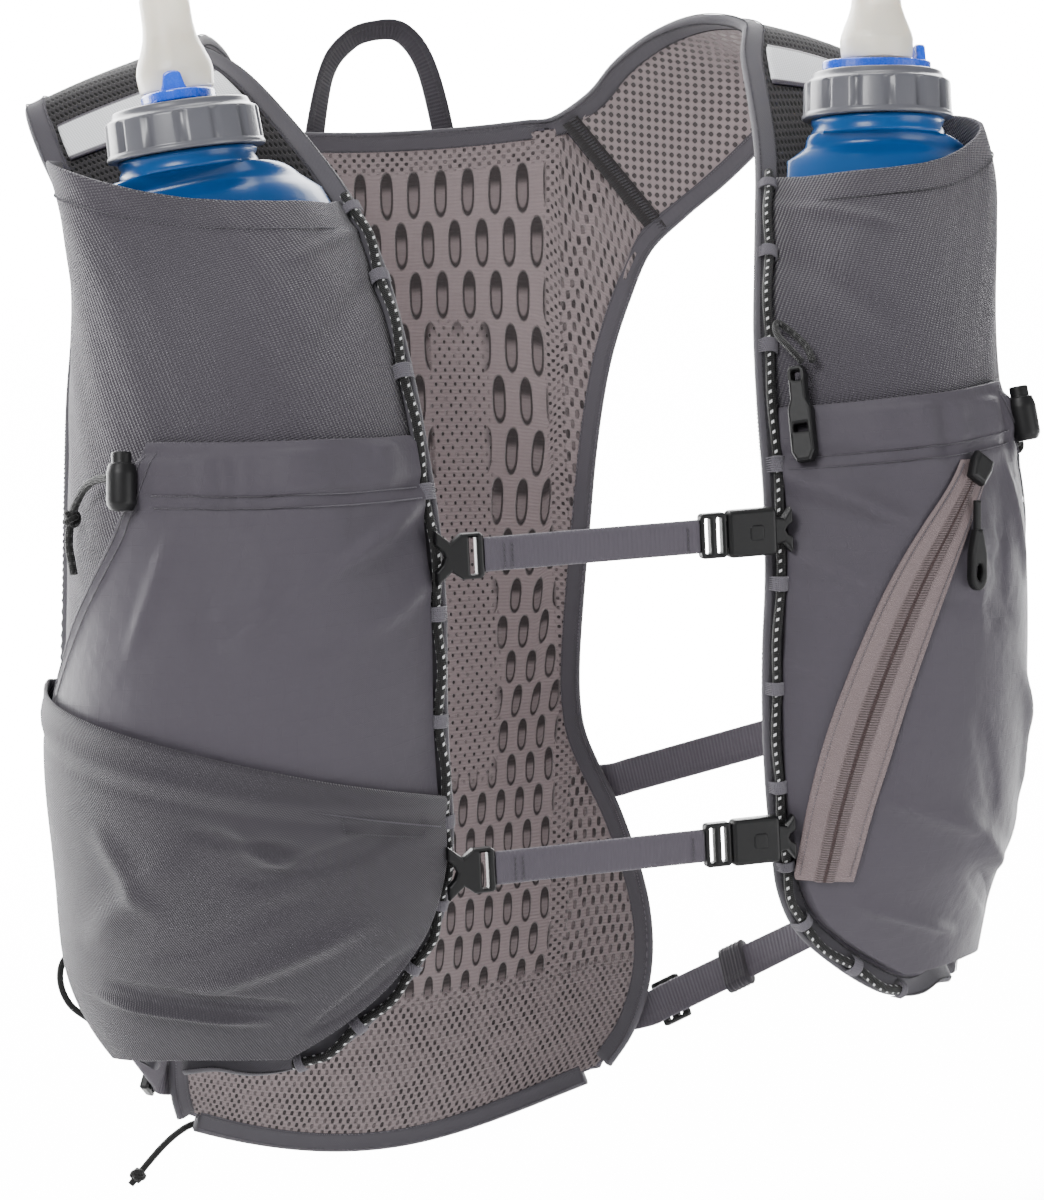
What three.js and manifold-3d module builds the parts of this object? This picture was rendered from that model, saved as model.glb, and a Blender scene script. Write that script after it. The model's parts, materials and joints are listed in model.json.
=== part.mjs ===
// Running hydration vest, held as it is worn. Millimetres, +Z up, front towards -Y,
// +X towards the wearer's left. The origin lies midway between the two shoulder straps,
// level with their crest at the neck edge.
import * as THREE from 'three';
import Module from 'manifold-3d';
import { mergeVertices } from 'three/addons/utils/BufferGeometryUtils.js';

const wasm = await Module();
wasm.setup();

// main sizes of the vest
const HALF_WIDTH = 160;
const HALF_DEPTH = 125;
const HEIGHT = 400;

// cloth and trim
const PANEL = 2.6;
const BACK_MESH = 3;
const POCKET_KNIT = 1.5;
const POCKET_NYLON = 1.2;
const BINDING_WIDTH = 8;
const BINDING_THICK = 3.6;
const GAP = 0.3;
const POCKET_MARGIN = 6.5;
const LAYER_GAP = 1.4;

// flasks
const FLASK_DEPTH = 42;
const FLASK_WIDTH = 84;
const FLASK_PLAY = 1;
const CAP_DIAMETER = 49;
const CAP_HEIGHT = 15;
const NECK_DIAMETER = 43;
const NECK_HEIGHT = 5.5;
const SPOUT_DIAMETER = 18;
const VALVE_BASE = 23;
const VALVE_TOP = 15.5;
const VALVE_HEIGHT = 31;
const LEVER_LENGTH = 36;
const LEVER_WIDTH = 23;
const LEVER_THICK = 3.4;
const THUMB_HEIGHT = 5;

// straps, buckles and cords
const WEBBING = 10.5;
const WEBBING_THICK = 1.4;
const SIDE_WEBBING = 12.5;
const HAUL_WEBBING = 8;
const BUCKLE_THICK = 5.4;
const LOCK_THICK = 3;
const BAND_THICK = 0.8;
const BUNGEE = 3;
const CORD = 2.5;
const LOOP_CORD = 2.2;

const v3 = (x, y, z) => new THREE.Vector3(x, y, z);
const mix = THREE.MathUtils.lerp;
const smooth = THREE.MathUtils.smoothstep;
const atShares = ([x, y, z]) => v3(x * HALF_WIDTH, y * HALF_DEPTH, z * HEIGHT);
const vest = new THREE.Group();

// a smooth curve through the rows of a table, at a place counted in rows
function rowAt(table, place) {
  const last = table.length - 1;
  const t = Math.min(Math.max(place, 0), last - 1e-9);
  const i = Math.floor(t);
  const f = t - i;
  const before = table[Math.max(i - 1, 0)];
  const from = table[i];
  const to = table[i + 1];
  const after = table[Math.min(i + 2, last)];
  return from.map((p, k) => {
    const slope = to[k] - before[k];
    const bend = 2 * before[k] - 5 * p + 4 * to[k] - after[k];
    const twist = 3 * p - before[k] - 3 * to[k] + after[k];
    return 0.5 * (2 * p + slope * f + bend * f * f + twist * f ** 3);
  });
}

// One front panel with its shoulder strap, from the seam on the back over the crest to
// the bottom. x is a share of HALF_WIDTH, y of HALF_DEPTH and z of HEIGHT; crown is the
// swell of the middle and sway the lean of both panels to one side.
const HARNESS = [
  // neck edge x, y, z, armhole edge x, y, z, crown, sway
  [0.363, 0.64, -0.068, 0.575, 0.624, -0.18, 0, 0],
  [0.438, 0.4, -0.015, 0.7, 0.44, -0.13, 0.008, 0],
  [0.519, 0.176, 0.008, 0.838, 0.2, -0.07, 0.016, 0],
  [0.581, -0.04, 0, 0.95, -0.04, -0.045, 0.016, 0],
  [0.525, -0.192, -0.025, 0.963, -0.16, -0.075, 0.024, 0.012],
  [0.444, -0.48, -0.1, 0.95, -0.256, -0.13, 0.032, 0.031],
  [0.388, -0.68, -0.165, 0.944, -0.304, -0.2, 0.04, 0.025],
  [0.344, -0.896, -0.265, 0.944, -0.336, -0.29, 0.056, -0.006],
  [0.325, -1.008, -0.4, 0.969, -0.352, -0.433, 0.08, -0.012],
  [0.319, -0.976, -0.525, 0.988, -0.352, -0.56, 0.096, -0.019],
  [0.325, -0.92, -0.64, 1, -0.352, -0.65, 0.1, -0.006],
  [0.381, -0.864, -0.72, 0.981, -0.352, -0.73, 0.09, -0.012],
  [0.544, -0.792, -0.783, 0.925, -0.4, -0.793, 0.06, 0],
  [0.675, -0.704, -0.805, 0.863, -0.528, -0.81, 0.03, 0],
];
const HARNESS_END = HARNESS.length - 1;

function harnessRow(row) {
  const q = rowAt(HARNESS, row);
  return {
    neck: v3(q[0] * HALF_WIDTH, q[1] * HALF_DEPTH, q[2] * HEIGHT),
    arm: v3(q[3] * HALF_WIDTH, q[4] * HALF_DEPTH, q[5] * HEIGHT),
    crown: q[6] * HALF_DEPTH,
    sway: q[7] * HALF_WIDTH,
  };
}

function panelWidth(row) {
  const { neck, arm } = harnessRow(row);
  return neck.distanceTo(arm);
}

// a point of the left panel's middle layer, before its sway; across 0 is the neck edge
function panelPoint(across, row) {
  const step = 0.02;
  const here = harnessRow(row);
  const next = harnessRow(Math.min(row + step, HARNESS_END));
  const last = harnessRow(Math.max(row - step, 0));
  const wide = here.arm.clone().sub(here.neck);
  const ahead = next.neck.add(next.arm).sub(last.neck).sub(last.arm);
  const out = ahead.cross(wide).normalize();
  const swell = here.crown * 4 * across * (1 - across);
  return here.neck.addScaledVector(wide, across).addScaledVector(out, swell);
}

// the outward direction of a surface given as a function of two places
function outwardOf(surface, a, b, stepA = 0.004, stepB = 0.02) {
  const alongA = surface(a + stepA, b).sub(surface(a - stepA, b));
  const alongB = surface(a, b + stepB).sub(surface(a, b - stepB));
  return alongB.cross(alongA).normalize();
}

// The left side hangs closer to the body: its x is drawn in past a place, softly.
const LEFT_DRAW = { from: 0.625, share: 0.2, soft: 10 };
function drawnIn(x, side) {
  const over = Math.max(x - LEFT_DRAW.from * HALF_WIDTH, 0);
  const eased = over - LEFT_DRAW.soft * (1 - Math.exp(-over / LEFT_DRAW.soft));
  return side > 0 ? x - LEFT_DRAW.share * eased : x;
}

// mirrors a point of the left side and adds the sway of its row
function placed(point, side, row) {
  const { sway } = harnessRow(row);
  return v3(side * drawnIn(point.x, side) + sway, point.y, point.z);
}

const mirrored = (direction, side) => v3(side * direction.x, direction.y, direction.z);

// the share of the panel's width that lies within a distance of one edge
function margin(distance, row, edge) {
  const step = 0.05;
  const next = harnessRow(Math.min(row + step, HARNESS_END))[edge];
  const last = harnessRow(Math.max(row - step, 0))[edge];
  const { neck, arm } = harnessRow(row);
  const wide = arm.sub(neck);
  const slant = next.sub(last).normalize().cross(wide.clone().normalize()).length();
  return distance / (wide.length() * Math.max(slant, 0.5));
}

// the place on a line through rows that lies a distance in from its start
function inwards(line, start, way, distance) {
  let row = start;
  const origin = line(start);
  while (line(row).distanceTo(origin) < distance) row += way * 0.01;
  return row;
}

function panelAt(across, row, side, lift = 0) {
  const out = outwardOf(panelPoint, across, row);
  const point = panelPoint(across, row).addScaledVector(out, lift);
  return { point: placed(point, side, row), out: mirrored(out, side) };
}

// The back: left edge, right edge and centre line of each level, top to hem.
const BACK = [
  // left x, y, z, right x, y, z, centre y, centre z
  [0.575, 0.624, -0.18, -0.575, 0.624, -0.18, 0.736, -0.075],
  [0.488, 0.72, -0.265, -0.488, 0.72, -0.265, 0.792, -0.21],
  [0.438, 0.76, -0.348, -0.438, 0.76, -0.348, 0.816, -0.32],
  [0.394, 0.76, -0.463, -0.394, 0.76, -0.463, 0.824, -0.445],
  [0.356, 0.744, -0.575, -0.363, 0.744, -0.575, 0.824, -0.57],
  [0.356, 0.696, -0.638, -0.413, 0.72, -0.643, 0.816, -0.643],
  [0.405, 0.6, -0.7, -0.525, 0.688, -0.713, 0.808, -0.715],
  [0.44, 0.5, -0.775, -0.613, 0.672, -0.788, 0.8, -0.795],
  [0.438, 0.472, -0.838, -0.669, 0.656, -0.863, 0.8, -0.875],
  [0.4, 0.512, -0.895, -0.681, 0.648, -0.915, 0.792, -0.948],
  [0.325, 0.592, -0.945, -0.663, 0.648, -0.95, 0.784, -1.008],
];
const BACK_END = BACK.length - 1;
const SEAM = 0.63;

// a point of the back's middle layer; across runs from -1, right, to 1, left
function backPoint(across, row) {
  const q = rowAt(BACK, row);
  const left = v3(q[0] * HALF_WIDTH, q[1] * HALF_DEPTH, q[2] * HEIGHT);
  const right = v3(q[3] * HALF_WIDTH, q[4] * HALF_DEPTH, q[5] * HEIGHT);
  const centreY = q[6] * HALF_DEPTH;
  const centreZ = q[7] * HEIGHT;
  const edge = across > 0 ? left : right;
  const a = Math.abs(across);
  const top = 1 - smooth(row, 0, 2.2);
  const neckDip = 0.07;
  const shoulder = a < SEAM ? -neckDip * (a / SEAM) ** 2 : mix(-neckDip, 1, (a - SEAM) / (1 - SEAM));
  const reach = mix(a ** 3.2, a ** 1.6, top);
  const drop = mix(a * a, shoulder, top);
  const x = mix(right.x, left.x, (across + 1) / 2);
  return v3(x, mix(centreY, edge.y, reach), mix(centreZ, edge.z, drop));
}

function backAt(across, row, lift = 0) {
  const out = outwardOf(backPoint, across, row, 0.01, 0.03).negate();
  return { point: backPoint(across, row).addScaledVector(out, lift), out };
}

// How far the flask pushes the pockets off the panel, in shares of FLASK_DEPTH.
const SWELL = [
  // row of the panel, push, fullness at the neck side, fullness at the armhole side
  [4, 0.95, 5, 7],
  [5, 1, 5, 6],
  [6, 1, 4.5, 3.6],
  [7, 1, 3.6, 2.3],
  [8, 1, 3.2, 2],
  [9, 0.93, 3, 2.1],
  [10, 0.68, 2.8, 2.2],
  [11, 0.38, 2.6, 2.4],
  [12, 0.13, 2.6, 2.6],
  [13, 0.02, 2.6, 2.6],
];

function swellAt(across, row) {
  const q = rowAt(SWELL, row - SWELL[0][0]);
  const edge = 0.05;
  const a = Math.min(Math.max((across - edge) / (1 - 2 * edge), 0), 1) * 2 - 1;
  return FLASK_DEPTH * q[1] * (1 - Math.abs(a) ** (a < 0 ? q[2] : q[3]));
}

// what lies on the panel is pushed forward, with little of the panel's own upward tilt
const UPWARD_SHARE = 0.12;
function pushAt(across, row) {
  const out = outwardOf(panelPoint, across, row);
  return out.setZ(out.z * UPWARD_SHARE).normalize();
}

// the pockets' inner layer; below the flask the bottle pocket is drawn in to the panel
const POCKET_BASE = BINDING_THICK / 2 + GAP + POCKET_KNIT / 2;
const FLASK_FOOT = 8.95;
const BOTTLE_FOOT = 9.5;
const pocketPoint = (across, row) => {
  const lift = POCKET_BASE + swellAt(across, row);
  return panelPoint(across, row).addScaledVector(pushAt(across, row), lift);
};
const bottlePoint = (across, row) => {
  const drawn = 1 - 0.93 * smooth(row, FLASK_FOOT, BOTTLE_FOOT);
  const lift = POCKET_BASE + swellAt(across, row) * drawn;
  return panelPoint(across, row).addScaledVector(pushAt(across, row), lift);
};

// makes a mesh from corner points and faces, with its faces turned outwards
function solid(points, faces) {
  const geometry = new THREE.BufferGeometry();
  geometry.setAttribute('position', new THREE.Float32BufferAttribute(points.flatMap((p) => p.toArray()), 3));
  let volume = 0;
  for (const [a, b, c] of faces) {
    volume += points[a].dot(points[b].clone().cross(points[c]));
  }
  const turned = volume < 0 ? faces.map(([a, b, c]) => [a, c, b]) : faces;
  geometry.setIndex(turned.flat());
  geometry.computeVertexNormals();
  return geometry;
}

// a wall over a grid of places; place(i, j) gives a point and its outward direction
function wall(place, columns, rows, thick) {
  const points = [];
  for (const face of [0.5, -0.5]) {
    for (let j = 0; j <= rows; j += 1) {
      for (let i = 0; i <= columns; i += 1) {
        const { point, out } = place(i / columns, j / rows);
        points.push(point.clone().addScaledVector(out, face * thick));
      }
    }
  }
  const half = points.length / 2;
  const at = (i, j) => j * (columns + 1) + i;
  const faces = [];
  for (let j = 0; j < rows; j += 1) {
    for (let i = 0; i < columns; i += 1) {
      const [a, b, c, d] = [at(i, j), at(i + 1, j), at(i + 1, j + 1), at(i, j + 1)];
      faces.push([a, b, c], [a, c, d], [a + half, c + half, b + half], [a + half, d + half, c + half]);
    }
  }
  const rim = [];
  for (let i = 0; i < columns; i += 1) rim.push(at(i, 0));
  for (let j = 0; j < rows; j += 1) rim.push(at(columns, j));
  for (let i = columns; i > 0; i -= 1) rim.push(at(i, rows));
  for (let j = rows; j > 0; j -= 1) rim.push(at(0, j));
  rim.forEach((a, k) => {
    const b = rim[(k + 1) % rim.length];
    faces.push([b, a, a + half], [b, a + half, b + half]);
  });
  return solid(points, faces);
}

// a section swept along stations; a station has a point and two directions of the section
function sweep(stations, section, closed = false) {
  const points = stations.flatMap(({ point, wide, out }) =>
    section.map(([a, b]) => point.clone().addScaledVector(wide, a).addScaledVector(out, b)));
  const n = section.length;
  const count = closed ? stations.length : stations.length - 1;
  const faces = [];
  for (let k = 0; k < count; k += 1) {
    const here = k * n;
    const next = ((k + 1) % stations.length) * n;
    for (let i = 0; i < n; i += 1) {
      const j = (i + 1) % n;
      faces.push([here + i, here + j, next + j], [here + i, next + j, next + i]);
    }
  }
  if (!closed) {
    const end = (stations.length - 1) * n;
    for (let i = 1; i < n - 1; i += 1) {
      faces.push([0, i + 1, i], [end, end + i, end + i + 1]);
    }
  }
  return solid(points, faces);
}

// stations along points with a wide direction given by a hint of the outward direction
function stationsAlong(places, closed = false) {
  return places.map(({ point, out }, k) => {
    const n = places.length;
    const next = places[closed ? (k + 1) % n : Math.min(k + 1, n - 1)].point;
    const last = places[closed ? (k + n - 1) % n : Math.max(k - 1, 0)].point;
    const along = next.clone().sub(last).normalize();
    const wide = along.clone().cross(out).normalize();
    return { point, wide, out: wide.clone().cross(along).normalize() };
  });
}

const flatSection = (width, thick) => {
  const [w, t] = [width / 2, thick / 2];
  return [[-w, -t], [w, -t], [w, t], [-w, t]];
};

// a folded tape: thin at both edges, full in the middle
const foldedSection = (width, thick) => {
  const [w, t] = [width / 2, thick / 2];
  const full = 0.6;
  return [[-w, 0], [-w * full, -t], [w * full, -t], [w, 0], [w * full, t], [-w * full, t]];
};

function add(name, geometry, look) {
  const [color, roughness, metalness = 0] = look;
  const material = new THREE.MeshStandardMaterial({ color, roughness, metalness });
  const mesh = new THREE.Mesh(geometry, material);
  mesh.name = name;
  vest.add(mesh);
  return mesh;
}

const LOOK = {
  panel: [0x8a868b, 0.85],
  knit: [0x7f7c83, 0.85],
  nylon: [0x85828a, 0.55],
  mesh: [0xa8999a, 0.9],
  binding: [0x66646b, 0.8],
  webbing: [0x6f6d74, 0.75],
  plastic: [0x4b4a4f, 0.4],
  black: [0x1c1c1f, 0.7],
  band: [0xc9ccd2, 0.4],
  flask: [0x1d6aa8, 0.25],
  cap: [0x63646a, 0.3],
  lever: [0x1266e0, 0.35],
  valve: [0xe6e2d4, 0.35],
  zip: [0xa08f90, 0.85],
};
const SIDES = [['right', -1], ['left', 1]];

// front panels with their shoulder straps
const TRIM = BINDING_WIDTH + 0.9;
const CORNER = 3.6;
const armTrim = (side) => (side > 0 ? TRIM / (1 - LEFT_DRAW.share) : TRIM);
const PANEL_STEPS = { across: 5, down: 18 };
const bottomRow = (across, distance) =>
  inwards((row) => panelPoint(across, row), HARNESS_END, -1, distance);
for (const [name, side] of SIDES) {
  const seam = 0.05;
  const place = (i, j) => {
    const row = mix(seam, bottomRow(mix(0.35, 0.65, i), TRIM + CORNER), j);
    const corner = TRIM + CORNER * 0.5 * smooth(row, 11.3, 12.2);
    return panelAt(mix(margin(corner, row, 'neck'), 1 - margin(armTrim(side), row, 'arm'), i), row, side);
  };
  add(`front_panel_${name}`, wall(place, PANEL_STEPS.across, PANEL_STEPS.down, PANEL), LOOK.panel);
}

// back panel; under the neck it stops at the binding, at the seams it meets the panels
const topRow = (across, distance) => inwards((row) => backPoint(across, row), 0, 1, distance);
const hemRow = (across, distance) =>
  inwards((row) => backPoint(across, row), BACK_END, -1, distance);
function backTop(across) {
  const open = 1 - smooth(Math.abs(across), 0.695, 0.76);
  return topRow(across, mix(GAP + 0.4, TRIM, open));
}
function backSpan(row) {
  return backPoint(-1, row).distanceTo(backPoint(1, row)) / 2;
}
const BACK_COLUMNS = [0, 0.17, 0.34, 0.5, 0.65, 0.765, 0.845, 1];
const BACK_ROWS = 16;
const backColumns = [...BACK_COLUMNS.slice(1).reverse().map((a) => -a), ...BACK_COLUMNS];
{
  const place = (i, j) => {
    const share = backColumns[Math.round(i * (backColumns.length - 1))];
    const row = mix(backTop(share * 0.9), hemRow(share, TRIM + 0.9 + 2 * share * share), j);
    return backAt(share * (1 - (TRIM + GAP) / backSpan(row)), row);
  };
  add('back_panel', wall(place, backColumns.length - 1, BACK_ROWS, BACK_MESH), LOOK.mesh);
}

// bindings round the edges, with their inner side against the panels
const INSET = BINDING_WIDTH / 2;
const taped = foldedSection(BINDING_WIDTH, BINDING_THICK);
const range = (from, to, count) => Array.from({ length: count + 1 }, (_, k) => mix(from, to, k / count));
const neckSide = (row, side) => panelAt(margin(INSET, row, 'neck'), row, side);
const armSide = (row, side) => panelAt(1 - margin(INSET, row, 'arm'), row, side);
const bottomSide = (across, side) => panelAt(across, bottomRow(across, INSET), side);
{
  const bottom = [0.74, 0.5, 0.26];
  const places = [
    ...bottom.map((a) => bottomSide(a, -1)),
    ...range(HARNESS_END - 0.55, 0.35, 26).map((row) => neckSide(row, -1)),
    ...range(-SEAM * 0.96, SEAM * 0.96, 10).map((a) => backAt(a, topRow(a, INSET))),
    ...range(0.35, HARNESS_END - 0.55, 26).map((row) => neckSide(row, 1)),
    ...bottom.reverse().map((a) => bottomSide(a, 1)),
  ];
  add('neck_binding', sweep(stationsAlong(places), taped), LOOK.binding);
}
for (const [name, side] of SIDES) {
  const places = [
    ...range(HARNESS_END - 0.6, 0.3, 22).map((row) => armSide(row, side)),
    ...range(0.25, BACK_END - 0.35, 18).map((row) => backAt(side * (1 - INSET / backSpan(row)), row)),
  ];
  add(`armhole_binding_${name}`, sweep(stationsAlong(places), taped), LOOK.binding);
}
{
  const places = range(-0.9, 0.9, 15).map((a) => backAt(a, hemRow(a, INSET)));
  add('hem_binding', sweep(stationsAlong(places), taped), LOOK.binding);
}

// Pockets. Each edge table gives, from rim to foot, the panel row at the neck side and
// at the armhole side, the dip of the middle in rows, then how far the wall reaches.
const BOTTLE_EDGE = [
  // row at neck side, row at armhole side, dip, near limit, far limit
  [5.5, 4.4, 0.25, 0, 0.96],
  [5.9, 5.1, 0.15, 0, 0.96],
  [6.4, 5.95, 0.05, 0, 0.96],
  [7, 6.8, 0, 0, 0.95],
  [7.7, 7.6, 0, 0, 0.95],
  [8.4, 8.4, 0, 0, 0.87],
  [9, 9, 0, 0.02, 0.82],
  [9.5, 9.5, 0, 0.06, 0.78],
];
const FRONT_EDGE = [
  [7.32, 7.2, 0, 0, 0.53],
  [7.7, 7.6, 0, 0, 0.6],
  [8.2, 8.15, 0, 0, 0.75],
  [8.9, 8.9, 0, 0, 0.92],
  [9.6, 9.6, 0, 0, 0.95],
  [10.4, 10.4, 0, 0.01, 0.95],
  [11.1, 11.1, 0, 0.03, 0.94],
  [11.8, 11.8, 0, 0.06, 0.89],
];
const LOWER_EDGE = [
  [9.45, 8.45, -0.15, 0, 0.95],
  [9.9, 9.25, -0.08, 0, 0.95],
  [10.4, 10.05, 0, 0.01, 0.95],
  [10.95, 10.8, 0, 0.03, 0.94],
  [11.4, 11.35, 0, 0.05, 0.92],
  [11.9, 11.9, 0, 0.08, 0.88],
];
// Soft folds of the front pockets, which only stand out from the flask.
const FOLDS = [
  // across, row, reach across, reach along, rise as a share of FLASK_DEPTH
  [0.2, 7.5, 0.07, 0.5, 0.035],
  [0.5, 7.55, 0.07, 0.5, 0.03],
  [0.78, 7.6, 0.06, 0.5, 0.035],
  [0.22, 9.4, 0.16, 0.35, 0.045],
  [0.6, 10.2, 0.25, 0.3, 0.04],
];
function foldAt(across, row) {
  let rise = 0;
  for (const [a, r, wide, long, high] of FOLDS) {
    rise += high * FLASK_DEPTH * Math.exp(-(((across - a) / wide) ** 2) - ((row - r) / long) ** 2);
  }
  return rise;
}
function pocketPlace(edge, surface, offset, side) {
  return (i, j) => {
    const [near, far, dip, from, to] = rowAt(edge, j * (edge.length - 1));
    const share = mix(i, (1 - Math.cos(Math.PI * i)) / 2, 0.6);
    const row = mix(near, far, share) + dip * 4 * share * (1 - share);
    const near0 = margin(POCKET_MARGIN, row, 'neck') + from;
    const across = mix(near0, Math.min(to, 1 - margin(POCKET_MARGIN, row, 'arm')), share);
    const out = outwardOf(surface, across, row);
    const point = surface(across, row).addScaledVector(out, offset(across, row));
    return { point: placed(point, side, row), out: mirrored(out, side) };
  };
}
const FRONT_LIFT = (POCKET_KNIT + POCKET_NYLON) / 2 + LAYER_GAP;
const LOWER_LIFT = FRONT_LIFT + POCKET_NYLON + LAYER_GAP;
const FAR_LIFT = 1.6;
const farLift = (across) => FAR_LIFT * smooth(across, 0.55, 0.85);
for (const [name, side] of SIDES) {
  const bottle = pocketPlace(BOTTLE_EDGE, bottlePoint, () => 0, side);
  add(`bottle_pocket_${name}`, wall(bottle, 12, 10, POCKET_KNIT), LOOK.knit);
  const lift = (across, row) => {
    const folded = side > 0 ? 1 : 1 - smooth(row, 8, 8.4);
    return FRONT_LIFT + farLift(across) + foldAt(across, row) * folded;
  };
  const front = pocketPlace(FRONT_EDGE, pocketPoint, lift, side);
  add(`front_pocket_${name}`, wall(front, 12, 9, POCKET_NYLON), LOOK.nylon);
}
{
  const lower = pocketPlace(LOWER_EDGE, pocketPoint, (across) => LOWER_LIFT + farLift(across), -1);
  add('lower_pocket_right', wall(lower, 12, 6, POCKET_NYLON), LOOK.knit);
}

// Flasks fill the bottle pockets: their front follows the pocket wall, their back the panel.
const FLASK = [
  // panel row, fill of the width and depth
  [5.1, 0.9],
  [5.25, 1],
  [6, 1],
  [7, 1],
  [8, 1],
  [8.55, 0.92],
  [8.8, 0.7],
  [8.88, 0.4],
];
const CAP_PLACE = { x: 0.719, y: -0.6, z: -0.085 };
const CAP_LEAN = { x: 0.07, y: 0.1 };
const RING = 16;
for (const [name, side] of SIDES) {
  const capFoot = v3(CAP_PLACE.x * HALF_WIDTH, CAP_PLACE.y * HALF_DEPTH, CAP_PLACE.z * HEIGHT);
  const axis = v3(CAP_LEAN.x, CAP_LEAN.y, 1).normalize();
  const rings = [];
  for (const drop of [0, NECK_HEIGHT]) {
    const centre = capFoot.clone().addScaledVector(axis, -drop - GAP);
    const wide = v3(1, 0, 0).cross(axis).cross(axis).negate().normalize();
    const deep = axis.clone().cross(wide).negate();
    rings.push(range(0, 1, RING).slice(0, RING).map((share) => {
      const angle = share * Math.PI * 2;
      const reach = NECK_DIAMETER / 2;
      const offset = wide.clone().multiplyScalar(Math.cos(angle) * reach);
      offset.addScaledVector(deep, Math.sin(angle) * reach);
      return placed(centre, side, 3).add(mirrored(offset, side));
    }));
  }
  for (const [row, fill] of FLASK) {
    const width = panelWidth(row);
    const near = Math.max(margin(POCKET_MARGIN, row, 'neck'), 0.46 - FLASK_WIDTH / 2 / width);
    const far = Math.min(0.9, 0.46 + FLASK_WIDTH / 2 / width);
    rings.push(range(0, 1, RING).slice(0, RING).map((share) => {
      const angle = share * Math.PI * 2;
      const c = Math.sign(Math.cos(angle)) * Math.abs(Math.cos(angle)) ** 0.85;
      const s = Math.sign(Math.sin(angle)) * Math.abs(Math.sin(angle)) ** 0.75;
      const across = (near + far) / 2 + (c * fill * (far - near)) / 2;
      const back = PANEL / 2 + FLASK_PLAY + 0.6;
      const front = POCKET_BASE + swellAt(across, row) - POCKET_KNIT / 2 - FLASK_PLAY * 1.4;
      const lift = (front + back) / 2 + (s * fill * Math.max(front - back, 2)) / 2;
      const point = panelPoint(across, row).addScaledVector(pushAt(across, row), lift);
      return placed(point, side, row);
    }));
  }
  const points = rings.flat();
  const faces = [];
  for (let k = 0; k < rings.length - 1; k += 1) {
    for (let i = 0; i < RING; i += 1) {
      const j = (i + 1) % RING;
      const [a, b] = [k * RING, (k + 1) * RING];
      faces.push([a + i, a + j, b + j], [a + i, b + j, b + i]);
    }
  }
  const end = (rings.length - 1) * RING;
  for (let i = 1; i < RING - 1; i += 1) {
    faces.push([0, i + 1, i], [end, end + i, end + i + 1]);
  }
  add(`flask_${name}`, solid(points, faces), LOOK.flask);

  // cap, lever and valve stand on the neck's axis
  const stand = new THREE.Group();
  stand.position.copy(placed(capFoot, side, 3));
  stand.quaternion.setFromUnitVectors(v3(0, 0, 1), mirrored(axis, side));
  vest.add(stand);
  const turned = (profile) => {
    const outline = profile.map(([r, z]) => new THREE.Vector2(r, z));
    const lathe = new THREE.LatheGeometry(outline, 18);
    return lathe.rotateX(Math.PI / 2);
  };
  const capR = CAP_DIAMETER / 2;
  const spoutR = SPOUT_DIAMETER / 2;
  const top = CAP_HEIGHT;
  const spoutTop = top + LEVER_THICK + 2 * GAP;
  const cap = turned([
    [0, 0], [capR, 0], [capR - 0.8, top * 0.78], [capR - 3, top * 0.86],
    [capR - 3.6, top], [spoutR, top], [spoutR, spoutTop], [0, spoutTop],
  ]);
  stand.add(add(`flask_cap_${name}`, cap, LOOK.cap));

  const base = VALVE_BASE / 2;
  const tip = VALVE_TOP / 2;
  const foot = spoutTop + GAP;
  const valve = turned([
    [0, foot], [base, foot], [base + 0.4, foot + VALVE_HEIGHT * 0.2],
    [base, foot + VALVE_HEIGHT * 0.3], [tip + 0.8, foot + VALVE_HEIGHT * 0.52],
    [tip, foot + VALVE_HEIGHT * 0.7], [tip, foot + VALVE_HEIGHT * 0.94],
    [tip - 1.6, foot + VALVE_HEIGHT], [0, foot + VALVE_HEIGHT],
  ]);
  stand.add(add(`flask_valve_${name}`, valve, LOOK.valve));

  // the shut-off lever turns round the spout; its thumb rise points ahead on the right
  // flask and outwards on the left one
  const plate = new THREE.Shape();
  plate.absellipse(0, 0, LEVER_LENGTH / 2, LEVER_WIDTH / 2, 0, Math.PI * 2);
  const hole = new THREE.Path();
  hole.absarc(0, 0, spoutR + 2 * GAP, 0, Math.PI * 2, true);
  plate.holes.push(hole);
  const flatSettings = { depth: LEVER_THICK, bevelEnabled: false, curveSegments: 6 };
  const flat = new THREE.ExtrudeGeometry(plate, flatSettings);
  const rise = new THREE.Shape();
  const thumb = LEVER_WIDTH * 0.3;
  rise.moveTo(-thumb, 0);
  rise.lineTo(thumb, 0);
  rise.quadraticCurveTo(thumb * 0.5, LEVER_THICK, thumb * 0.4, LEVER_THICK + THUMB_HEIGHT);
  rise.lineTo(-thumb * 0.4, LEVER_THICK + THUMB_HEIGHT);
  rise.quadraticCurveTo(-thumb * 0.5, LEVER_THICK, -thumb, 0);
  const tab = new THREE.ExtrudeGeometry(rise, { depth: 3, bevelEnabled: false, curveSegments: 4 });
  tab.rotateX(Math.PI / 2).rotateZ(Math.PI / 2).translate(VALVE_BASE / 2 + 1.2, 0, 0);
  const lever = joined(flat, tab);
  lever.rotateZ(side < 0 ? -Math.PI / 2 - 0.28 : -0.1);
  lever.translate(0, 0, top + GAP);
  stand.add(add(`flask_lever_${name}`, lever, LOOK.lever));
}

// reflective bands across the shoulder straps
for (const [name, side] of SIDES) {
  const lift = PANEL / 2 + GAP + BAND_THICK / 2;
  const place = (i, j) => {
    const row = mix(3.86, 4.4, j);
    return panelAt(mix(margin(TRIM, row, 'neck'), 1 - margin(armTrim(side), row, 'arm'), i), row, side, lift);
  };
  add(`shoulder_band_${name}`, wall(place, 6, 3, BAND_THICK), LOOK.band);
}

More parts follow.
